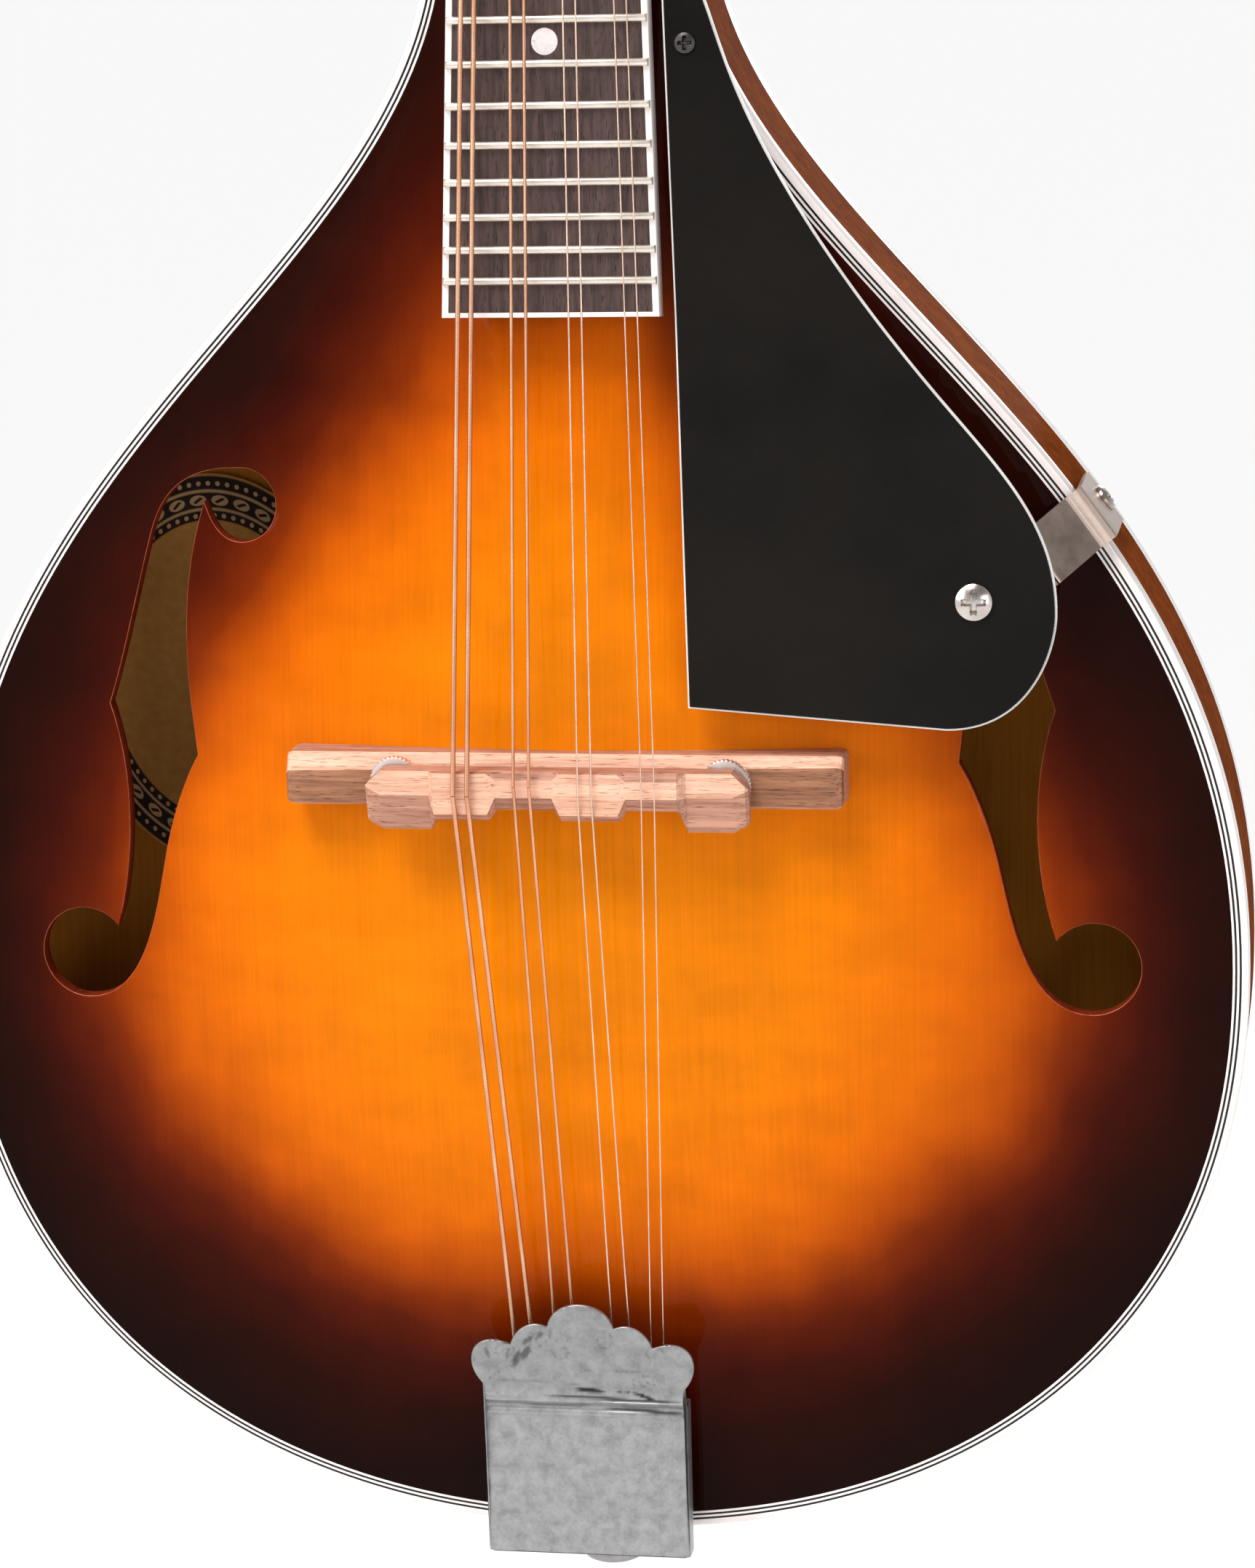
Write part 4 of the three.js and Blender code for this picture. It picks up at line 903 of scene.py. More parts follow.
def edges_and_ribs():
    low = -BINDING_DEPTH
    ivory = ((0, low), (0, -0.7), (0.2, -0.2), (0.7, 0), (BINDING_WIDTH, 0), (BINDING_WIDTH, low))
    band("binding_top", ivory, "ivory", slot="binding", stands_for=("top_binding",))
    back = [(inset, -RIM_DEPTH - height) for inset, height in ivory]
    band("binding_back", back, "ivory", slot="binding", stands_for=("back_binding",))
    for number, look in enumerate(TOP_PLIES):
        start, end = BINDING_WIDTH + number * PLY, BINDING_WIDTH + (number + 1) * PLY
        ply = ((start, -PLY_DEPTH), (start, 0), (end, 0), (end, -PLY_DEPTH))
        band(f"top_ply_{number + 1}", ply, look, slot="binding")
    start, end, inner = BINDING_WIDTH, BINDING_WIDTH + PLY, PLY_DEPTH - RIM_DEPTH
    dark = ((start, inner), (start, -RIM_DEPTH), (end, -RIM_DEPTH), (end, inner))
    band("back_ply", dark, "ply", slot="binding")
    top, bottom = low - GAP, BINDING_DEPTH + GAP - RIM_DEPTH
    rib = ((0, bottom), (0, top), (RIB_THICKNESS, top), (RIB_THICKNESS, bottom))
    middle = len(side_line(0)) // 2
    halves = slice(0, middle + 1), slice(middle, None)
    for (side, d), keep in zip(SIDES, halves):
        name = side + "_rib"
        band(name + "_bent", rib, "maple", keep, d * RIB_SEAM, slot="maple", stands_for=(name,))
    softened("neck_block", "maple", 0)
    for node in ("tail_block", "top_lining", "back_lining", "bass_tone_bar", "treble_tone_bar"):
        softened(node, "spruce", 0)


def circle(centre, radius, count):
    return arc(centre, radius, 0, 360, count)[:-1]


def label():
    floor = PLATE_THICKNESS - RIM_DEPTH
    panel(
        "label_printed", circle((0, 0), 1, 72) * LABEL_HALF + LABEL_CENTRE,
        surface(floor + 1, -BACK_ARCH), surface(floor + 0.6, -BACK_ARCH), ("label",), edge=0.1, steps=1,
        spacing=4, slot="label_paper", stands_for=("label",)
    )


# ------------------------------------------------------------------ neck and headstock
# place along the neck, half width, depth of its back, fullness of its section
NECK_STATIONS = (
    (12, 15.5, 22.5, 0.85),
    (3, 14.5, 20.3, 0.5),
    (-14, 14.9, 20.2, 0.12),
    (-40, 15.6, 20.6, 0),
    (-90, 17, 21.4, 0),
    (-132, 18.2, 22.4, 0),
    (-146, 18.6, 24.5, 0.1),
    (-156, 19.4, 29, 0.35),
    (-163, 20.8, 36, 0.65),
    (-168, 22.6, 43, 0.85),
    (-176, 24.8, 52, 1),
)


def through(points, count):
    """A smooth line through points, with count steps between each two."""
    p = np.array(points, float)
    p = np.r_[[2 * p[0] - p[1]], p, [2 * p[-1] - p[-2]]]
    t = np.linspace(0, 1, count, endpoint=False)[:, None]
    parts = []
    for a, b, c, d in zip(p, p[1:], p[2:], p[3:]):
        square, cube = 2 * a - 5 * b + 4 * c - d, 3 * (b - c) + d - a
        parts.append(0.5 * (2 * b + (c - a) * t + square * t**2 + cube * t**3))
    return np.r_[np.concatenate(parts), [p[-2]]]


def board_half_width(z):
    return NUT_WIDTH / 2 + (BOARD_END_WIDTH - NUT_WIDTH) / 2 * (-z / BOARD_LENGTH)


def head_loop(start_z=0.0):
    half = outline(
        (14.6, start_z),
        ((16, 14), (31, 20), (37.5, 34)),
        ((41, 52), (31.5, 84), (31, 116)),
        ((31, 130), (33.5, 139), (37.5, 146)),
        ((30, 153), (22, 146), (14, 150)),
        ((9, 152.5), (5, 157), (0.01, 157)),
    )
    return np.r_[half, (half * (-1, 1))[::-1]]


def post_places():
    for side, d in SIDES:
        for number in range(4):
            yield side, d, number + 1, FIRST_POST_Z + number * POST_PITCH


def carve(target, tool, operation):
    """Joins or cuts a piece with a tool, which is used up."""
    step = target.modifiers.new("carve", "BOOLEAN")
    step.operation = operation
    step.object = tool
    step.solver = "EXACT"
    graph = bpy.context.evaluated_depsgraph_get()
    mesh = bpy.data.meshes.new_from_object(target.evaluated_get(graph))
    target.modifiers.clear()
    target.data = mesh
    smooth(mesh)
    bpy.data.objects.remove(tool)


def box_piece(name, lows, highs, look="ply", **more):
    """A block between two corners of (x, height, z)."""
    (x0, h0, z0), (x1, h1, z1) = lows, highs
    rings = [[(x, h0, z0), (x, h1, z0), (x, h1, z1), (x, h0, z1)] for x in (x0, x1)]
    return loft(name, rings, look, **more)


def neck_wood():
    top = BOARD_THICKNESS + GAP
    turn = np.linspace(0, math.pi, 33)
    rings = []
    for z, half, depth, fullness in through(NECK_STATIONS, 7):
        power = 2 / (2.7 + 2.3 * min(max(fullness, 0), 1))
        share = np.maximum(np.sin(turn), 0) ** power
        width = half + (min(half, board_half_width(z)) - half) * (1 - np.sin(turn)) ** 3
        x = width * np.sign(np.cos(turn)) * np.abs(np.cos(turn)) ** power
        rings.append(np.c_[x, -(top + (depth - top) * share), np.full(len(turn), z)])
    wood = loft("neck_carved", rings, "neck", place=NECK, slot="neck_wood", stands_for=("neck",))
    holes = [circle((d * POST_X, z), 3.3, 24) for _, d, _, z in post_places()]
    paddle = panel(
        "paddle", head_loop(), level(-0.05), level(-HEAD_THICKNESS), ("neck",), holes=holes, edge=1.3,
        steps=4, spacing=9, place=HEAD, body=None
    )
    carve(wood, paddle, "UNION")
    room = box_piece("room", (-60, -80, -60), (60, 30, SHOULDER_Z + GAP), place=BODY, body=None)
    carve(wood, room, "DIFFERENCE")
    reach = (-16, -BOARD_THICKNESS - 3.8, -236), (16, -BOARD_THICKNESS - GAP, -163)
    box_piece("neck_tongue", *reach, look="neck", place=NECK, slot="neck_wood")
    softened("truss_rod", "steel", 0)


def headstock_face():
    holes = [circle((d * POST_X, z), 3.4, 24) for _, d, _, z in post_places()]
    panel(
        "headstock_face", head_loop(GAP), level(GAP + VENEER), level(GAP), ("veneer",), holes=holes,
        edge=0.5, spacing=9, place=HEAD, slot="black_veneer", stands_for=("headstock_veneer",)
    )
    bell = outline(
        (-9, 2),
        ((-3, 1.2), (3, 1.2), (9, 2)),
        ((9, 14), (3.6, 22), (2.6, 34)),
        arc((0, 34), 2.6, 0, 180, 16),
        ((-3.6, 22), (-9, 14), (-9, 2)),
    )
    cover_top = GAP + VENEER + GAP + 1.6
    panel(
        "truss_rod_cover_bell", bell, level(cover_top), level(cover_top - 1.6),
        ("guard", "guard_edge", "guard", "guard"), edge=0.5, spacing=3, place=HEAD,
        slot="pickguard_plastic", stands_for=("truss_rod_cover",)
    )
    for number, (x, z) in enumerate(((-6, 4.8), (6, 4.8), (0, 33.6))):
        screw(f"cover_screw_{number + 1}", 1.5, (x, cover_top, z), place=HEAD, sides=32)
    softened("nut", "bone", 0.3)


# ------------------------------------------------------------------ screws
FACINGS = {
    "front": lambda u, up, v: (u, up, v),
    "back": lambda u, up, v: (u, -up, v),
    "side": lambda u, up, v: (up, u, v),
    "tail": lambda u, up, v: (u, v, -up),
}


def screw(
    name, radius, centre, facing="front", place=BODY,
    look="nickel", sides=64, slotted=False, shank=2.0, **more,
):
    """A domed screw head with a cross or slot sunk in it, and a short shank under it."""
    rise, wide, long = radius * 0.5, radius * 0.13, radius * (1.2 if slotted else 0.62)
    turn = np.arange(sides) * 2 * math.pi / sides
    rings = []
    for share in np.linspace(0.02, 1, 15 if sides < 64 else 27):
        u, v = radius * share * np.cos(turn), radius * share * np.sin(turn)
        up = rise * (1 - share**2 * 0.55)
        arms = (np.abs(u), np.abs(v)), (np.abs(v), np.abs(u))
        sunk = np.zeros(sides)
        for thin, far in arms[: 1 if slotted else 2]:
            across = np.clip((wide - thin) / (0.3 * wide) + 1, 0, 1)
            along = np.clip((long - far) / (0.3 * wide) + 1, 0, 1)
            sunk = np.maximum(sunk, across * along)
        rings.append((u, up - sunk * rise * 0.75, v))
    for r, up in ((radius, rise * 0.2), (radius * 0.97, 0.0), (radius * 0.42, 0.0), (radius * 0.4, -shank)):
        rings.append((r * np.cos(turn), np.full(sides, up), r * np.sin(turn)))
    turned = [np.array(FACINGS[facing](*ring)).T + np.array(centre, float) for ring in rings]
    return loft(name, turned, look, place=place, **more)


# ------------------------------------------------------------------ tuning machines
PLATE_BACK = -HEAD_THICKNESS - GAP - 1.2
GEAR_TEETH = 14
GEAR_RADIUS = 5.4
TOOTH_DEPTH = 0.42
WORM = (17.4, 25.6)  # where the thread starts and ends on the shaft


def tuner_plate(side, d):
    inner, outer = POST_X - 7.5, POST_X + 7.5
    first = FIRST_POST_Z - WORM_OFFSET - 5
    last = FIRST_POST_Z + 3 * POST_PITCH + 9
    loop = outline(
        (inner, first + 4),
        ((inner, first + 1), (POST_X - 3, first + 2.5), (POST_X, first)),
        ((POST_X + 3, first + 2.5), (outer, first + 1), (outer, first + 4)),
        (outer, last - 4),
        ((outer, last - 1), (POST_X + 3, last - 2.5), (POST_X, last)),
        ((POST_X - 3, last - 2.5), (inner, last - 1), (inner, last - 4)),
        count=10,
    )
    holes = [circle((POST_X, FIRST_POST_Z + i * POST_PITCH), 3.3, 24) for i in range(4)]
    mirror = np.array((d, 1))
    node = side + "_tuner_plate"
    panel(
        node + "_pressed", loop * mirror, level(PLATE_BACK + 1.2), level(PLATE_BACK), ("nickel",),
        holes=[h * mirror for h in holes], edge=0.35, spacing=6, place=HEAD, slot="nickel",
        stands_for=(node,)
    )
    turn = np.linspace(0, math.pi, 15)
    for number in range(4):
        worm_z = FIRST_POST_Z + number * POST_PITCH - WORM_OFFSET
        ear = [(SHAFT_HEIGHT - 2.8 * math.sin(t), worm_z + 2.8 * math.cos(t)) for t in turn]
        ear = [(PLATE_BACK + 0.4, worm_z + 2.8), *ear, (PLATE_BACK + 0.4, worm_z - 2.8)]
        for end, x in (("inner", POST_X - 6), ("outer", POST_X + 6)):
            rings = [[(d * (x + t), h, z) for h, z in ear] for t in (-0.6, 0.6)]
            loft(f"{side}_ear_{number + 1}_{end}", rings, "nickel", place=HEAD, slot="nickel")
    screw_rows = [first + 2.6, *[FIRST_POST_Z + (i + 0.34) * POST_PITCH for i in range(3)], last - 2.6]
    for number, z in enumerate(screw_rows):
        x = POST_X if number in (0, 4) else POST_X + 4.6
        name = f"{side}_plate_screw_{number + 1}"
        screw(name, 1.5, (d * x, PLATE_BACK, z), "back", HEAD, sides=32, slot="nickel")


def tuner(side, d, number, z):
    post, key = f"{side}_post_{number}", f"{side}_key_{number}"
    centre = (d * POST_X, 0, z)
    top = GAP + VENEER
    shaft = [
        (0, -17.5), (3, -17.5), (3, 5.2), (2.9, 5.7), (2.6, 6.2), (2.5, 7.2), (2.6, 8.2), (2.95, 8.8),
        (3, 9.2), (3, 11.3), (2.7, 11.8), (1.2, 12), (0, 12)
    ]
    more = {"place": HEAD, "body": post, "slot": "nickel"}
    turned_piece(post + "_shaft", shaft, "nickel", centre=centre, stands_for=(post,), **more)
    tooth = lambda turn, _: -TOOTH_DEPTH * (1 - np.cos(GEAR_TEETH * turn)) / 2
    gear = [(0, -20), (3.4, -20), (4.9, -19.9), (5.4, -19.5), (5.4, -16.6), (4.9, -16.1), (0, -16)]
    cut = {"sides": 6 * GEAR_TEETH, "ripple": tooth}
    turned_piece(f"{side}_gear_{number}", gear, "brass", centre=centre, **cut, **more)
    screw(f"{side}_gear_screw_{number}", 2.1, (centre[0], -20, z), "back", sides=32, slotted=True, **more)
    ring = [(3.15, top), (5.1, top), (5.1, top + 0.4), (4.3, top + 1.2), (3.15, top + 1.3)]
    revolved(f"{side}_bushing_{number}", ring, "nickel", centre, place=HEAD, slot="nickel")

    worm_z = z - WORM_OFFSET
    at = (0, SHAFT_HEIGHT, worm_z)
    pitch = 2 * math.pi * GEAR_RADIUS / GEAR_TEETH

    def thread(turn, x):
        wave = np.cos(turn - d * 2 * math.pi * x / pitch)
        return TOOTH_DEPTH * wave if WORM[0] - 0.1 < abs(x) < WORM[1] + 0.1 else 0 * turn

    worm = [(2.0, x) for x in np.arange(WORM[0], WORM[1] + 0.05, 0.2)]
    along = [(0, 14.4), (1.6, 14.4), (1.6, 17.2), *worm, (1.6, 25.8)]
    along += [(1.6, 40.5), (2.3, 40.8), (2.6, 41.6), (2.3, 42.4), (1.7, 42.8), (1.7, 45), (0, 45)]
    rod = [(r, d * x) for r, x in along]
    more = {"place": HEAD, "body": key}
    shown = {"slot": "nickel", "stands_for": (key,)}
    turned_piece(key + "_shaft", rod, "nickel", "side", at, 24, thread, **shown, **more)
    start = BUTTON_START_X
    loop = outline(
        (start, -2.6),
        ((start + 4, -4), (start + 5, -8.5), (start + 9, -8.5)),
        ((start + 14, -8.5), (start + 14, 8.5), (start + 9, 8.5)),
        ((start + 5, 8.5), (start + 4, 4), (start, 2.6)),
        count=14,
    )
    loop = (loop + (0, worm_z)) * (d, 1)
    share = share_of(loop, (d * (start + 7), worm_z))
    swell = lambda x, z: 1.3 + 1.5 * (1 - np.minimum(share(x, z), 1) ** 2)
    panel(
        key + "_button", loop, lambda x, z: SHAFT_HEIGHT + swell(x, z),
        lambda x, z: SHAFT_HEIGHT - swell(x, z), ("button",), edge=1.2, steps=5, spacing=1.6,
        slot="button", **more
    )


def revolved(name, loop, look, centre, sides=48, ripple=None, **more):
    """A ring turned from a closed loop of (radius, height), round an axis that points to the front."""
    turn = np.arange(sides) * 2 * math.pi / sides
    points = []
    for t in turn:
        for r, h in loop:
            wide = r + (ripple(t, r) if ripple else 0)
            points.append((centre[0] + wide * math.cos(t), centre[1] + h, centre[2] + wide * math.sin(t)))
    n = len(loop)
    faces = [
        (i * n + k, i * n + (k + 1) % n, (i + 1) % sides * n + (k + 1) % n, (i + 1) % sides * n + k)
        for i in range(sides)
        for k in range(n)
    ]
    return mesh_piece(name, points, faces, (look,), **more)


# ------------------------------------------------------------------ fingerboard
EDGE_LIP = 0.02  # how far the binding and the frets' feet stand over the wood


def fret_place(number):
    return -SCALE * (1 - 2 ** (-number / 12))


def fingerboard():
    start, end = board_half_width(0), board_half_width(-BOARD_LENGTH)

    def corners(margin, end_margin):
        front, tail = -GAP, -BOARD_LENGTH + end_margin
        near, far = start - margin, end - margin
        return [(near, front), (far, tail), (-far, tail), (-near, front)]

    board = np.array(corners(BOARD_BINDING + 0.02, 1.02))[::-1]
    panel(
        "fingerboard_wood", board, level(0), level(-BOARD_THICKNESS), ("rosewood",), edge=0.05, steps=1,
        spacing=12, place=NECK, slot="rosewood", stands_for=("fingerboard",)
    )
    rim = np.array(corners(0, 0) + corners(BOARD_BINDING, 1)[::-1])
    panel(
        "fingerboard_edge", rim, level(EDGE_LIP), level(-BOARD_THICKNESS), ("ivory",), edge=0.22, steps=2,
        spacing=20, place=NECK, slot="binding", stands_for=("fingerboard_binding",)
    )
    turn = np.linspace(0, math.pi, 11)
    for number in range(1, FRETS + 1):
        z = fret_place(number)
        half = board_half_width(z) - 0.2
        rounded = [(half, 0.3), (half - 0.15, 0.75), (half - 0.5, 1)]
        rings = []
        for x, share in rounded + [(-x, share) for x, share in rounded[::-1]]:
            up = EDGE_LIP + (FRET_HEIGHT - EDGE_LIP) * share * np.sin(turn) ** 0.8
            rings.append(np.c_[np.full(len(turn), x), up, z + FRET_WIDTH / 2 * np.cos(turn)])
        loft(f"fret_{number:02d}", rings, "fret", place=NECK, slot="fret_nickel")
    disc = [(0, -0.6), (2.6, -0.6), (2.6, 0.02), (2.52, 0.06), (0, 0.07)]
    for number in (3, 5, 7, 10, 12, 15):
        z = (fret_place(number - 1) + fret_place(number)) / 2
        for x in (-6.2, 6.2) if number == 12 else (-0.4,):
            name = f"dot_{number:02d}" + ("_b" if x > 0 else "")
            turned_piece(name, disc, "pearl", centre=(x, 0, z), sides=40, place=NECK, slot="pearl")


# ------------------------------------------------------------------ bridge
BAR_END = 56.5
SADDLE_END = 38.5
CHAMFER_START = 35.3
# sections of the saddle: the tail side's place and height, the flat top from and to, and its height
SADDLE_BLOCK = (-9, 23.4, -1.6, 3.3, 25.2)
SADDLE_RIDGE = (-6.6, 25.4, -5, 3.3, 27.25)
SADDLE_STRIP = (-4.4, 25.4, -1.6, 2.0, 27.0)
# where along x each section runs
SADDLE_ZONES = (
    (-SADDLE_END, -25.6, *SADDLE_BLOCK),
    (-24.2, -13.4, *SADDLE_RIDGE),
    (-11.8, -0.4, *SADDLE_STRIP),
    (1.2, 12.8, *SADDLE_RIDGE),
    (14.4, 24.6, *SADDLE_STRIP),
    (26.2, SADDLE_END, *SADDLE_BLOCK),
)


def side_marks(rings, around_one):
    """The looks of a skin's faces, one for each face round a ring. Its two end fans get the first look."""
    around, sides = len(rings[0]), len(rings) - 1
    return list(around_one) * sides + [0] * (2 * around)


def bridge():
    half = 5.25
    stations = np.r_[-BAR_END, -56.1, -55, np.linspace(-53, 53, 45), 55, 56.1, BAR_END]
    rings = []
    for x in stations:
        squeeze = {BAR_END: 0.84, 56.1: 0.95}.get(abs(x), 1.0)
        top = 18 - {BAR_END: 1.3, 56.1: 0.6, 55: 0.15}.get(abs(x), 0.0)
        low = lambda z: float(TOP_ARCH * arch(np.array(x), np.array(BRIDGE_Z + z))) + 0.08
        wide = half * squeeze
        face = 3.6 - 1.6 * (x + BAR_END) / (2 * BAR_END)
        loop = [(-wide, low(-wide)), (-wide, top - 0.6), (-wide + 0.5, top), (wide - face, top)]
        loop += [(wide - 0.3, top - 1.5), (wide, top - 1.9), (wide, low(wide)), (0, low(0))]
        rings.append([(x, h, z) for z, h in loop])
    points, faces = skin(rings)
    # the base's top takes the darker copy as painted shade, and its sloped faces toward the neck take the
    # paler copy as a painted highlight
    looks = ("bridge", "bridge_painted_shade", "bridge_painted_highlight")
    shared = {"place": BRIDGE, "slot": "bridge_rosewood"}
    more = {"sharp": 28, "stands_for": ("bridge_base",), **shared}
    marks = side_marks(rings, (0, 0, 1, 2, 2, 0, 0, 0))
    mesh_piece("bridge_base_bar", points, faces, looks, marks=marks, **more)

    table = np.array([(x, *zone) for first, last, *zone in SADDLE_ZONES for x in (first, last)])
    middles = (table[1:-2:2, 0] + table[2:-1:2, 0]) / 2
    places = np.r_[table[:, 0], middles, -37.9, 37.9, -CHAMFER_START, CHAMFER_START]
    rings = []
    for x in np.sort(places):
        tail, slope_end, start, end, top = (np.interp(x, table[:, 0], table[:, k]) for k in range(1, 6))
        ease = 0.5 if abs(x) == SADDLE_END else 0.0
        cut = max(0.0, abs(x) - CHAMFER_START)
        neck, end, tail, slope = 3.6 - 0.95 * cut, end - 0.95 * cut, tail + 0.5 * cut, 0.5 * cut
        start = min(start + slope, end - 0.3)
        neck, top = neck - ease, top - ease
        loop = [(neck, 21.3), (neck, top - 0.8), (end, top), (start, top)]
        loop += [(tail + 0.5, slope_end - ease), (tail + ease, slope_end - 0.6 - ease), (tail + ease, 21.3)]
        rings.append([(x, h, z) for z, h in loop])
    points, faces = skin(rings)
    more = {"body": "saddle", "sharp": 24, "stands_for": ("bridge_saddle",), **shared}
    # the saddle's flat top takes the paler copy of the rosewood as a painted highlight
    marks = side_marks(rings, (0, 0, 1, 0, 0, 0, 0))
    mesh_piece("bridge_saddle_carved", points, faces, ("bridge", "bridge_painted_highlight"), marks=marks, **more)

    low, high = THUMBWHEEL_BOTTOM, THUMBWHEEL_BOTTOM + THUMBWHEEL_THICKNESS
    wheel = [(1.95, low), (4.9, low), (5.2, low + 0.25), (5.2, high - 0.25), (4.9, high), (1.95, high)]
    knurl = lambda t, r: -0.2 * (0.5 + 0.5 * math.cos(36 * t)) if r > 5 else 0
    thread = lambda turn, h: 0.1 * np.cos(turn - 2 * math.pi * h / 0.8)
    stem = [(0, 14.8), *[(1.5, h) for h in np.arange(14.8, 23.6, 0.2)], (0, 23.6)]
    for side, d in SIDES:
        centre = (d * BRIDGE_POST_X, 0, 0)
        node = side + "_thumbwheel"
        more = {"place": BRIDGE, "slot": "nickel", "stands_for": (node,)}
        # the wheels take the paler copy of the nickel as a painted highlight
        revolved(node + "_knurled", wheel, "wheel_painted_highlight", centre, 144, knurl, body=node, **more)
        node = side + "_bridge_post"
        more["stands_for"] = (node,)
        turned_piece(node + "_threaded", stem, "nickel", "front", centre, 20, thread, **more)


# ------------------------------------------------------------------ tailpiece and end pin
def spiral(centre, radius, start, turns):
    """A curl that winds inwards to an eighth of its radius."""
    t = np.linspace(0, 1, 60)
    turn = math.radians(start) + turns * 2 * math.pi * t
    r = radius * (0.12 + 0.88 * (1 - t))
    return np.c_[centre[0] + r * np.cos(turn), centre[1] + r * np.sin(turn)]


def engraving_and_fold_shade():
    """Points on the fine lines of the tailpiece's lip, its dark leaves, and dark lines along the folds of
    its bend that are painted shade.

    A leaf or fold line is its x, z, half length, half width, turn in degrees and tone.
    """
    stem = bezier((-20.4, -126), (-17, -122.5), (-12, -121.5), (-5.4, -114.6), 60)
    lines = [stem, spiral((-15.6, -119), 2.4, 200, -1.4), spiral((-4, -118.6), 3, 40, 1.3)]
    lines += [spiral((4.6, -116), 2.6, 120, -1.3), spiral((13, -125.2), 2.6, 170, 1.7)]
    lines.append(spiral((15, -118.6), 2.2, 0, 1.2))
    lines.append(bezier((-2, -124.6), (3, -119.8), (8, -125), (15.6, -121.6), 50))
    lines.append(bezier((-18, -125.8), (-8, -124.4), (6, -128), (19, -126.2), 60))
    leaves_and_fold_shade = [
        (-13.7, -120.6, 2.4, 0.7, 68, 0.7), (-11.7, -119.2, 2.0, 0.8, 58, 0.75),
        (-11.0, -116.2, 1.8, 0.55, 36, 0.65), (-8.7, -115.2, 1.4, 0.5, 52, 0.6),
        (-6.4, -114.6, 1.2, 0.35, 75, 0.5), (-15.4, -119.2, 1.8, 0.35, 76, 0.5),
        (-19.8, -119.4, 1.3, 0.5, 105, 0.6), (1.4, -127.4, 3.3, 0.6, -4, 1.0),
        (7.6, -127.5, 0.5, 0.3, 0, 0.9), (9.2, -127.6, 0.4, 0.3, 0, 0.9),
        # (6, -129.2) and the two after it are long thin dark lines in the folds of the bend: painted shade
        # between its ridges
        (12.6, -128.4, 2.6, 0.42, -20, 1.0), (6, -129.2, 14.5, 0.3, -1.5, 0.9),
        (12.4, -132, 8.6, 0.32, -2, 0.9), (-10, -131.2, 10, 0.2, -1, 0.6)
    ]
    return np.concatenate(lines), leaves_and_fold_shade


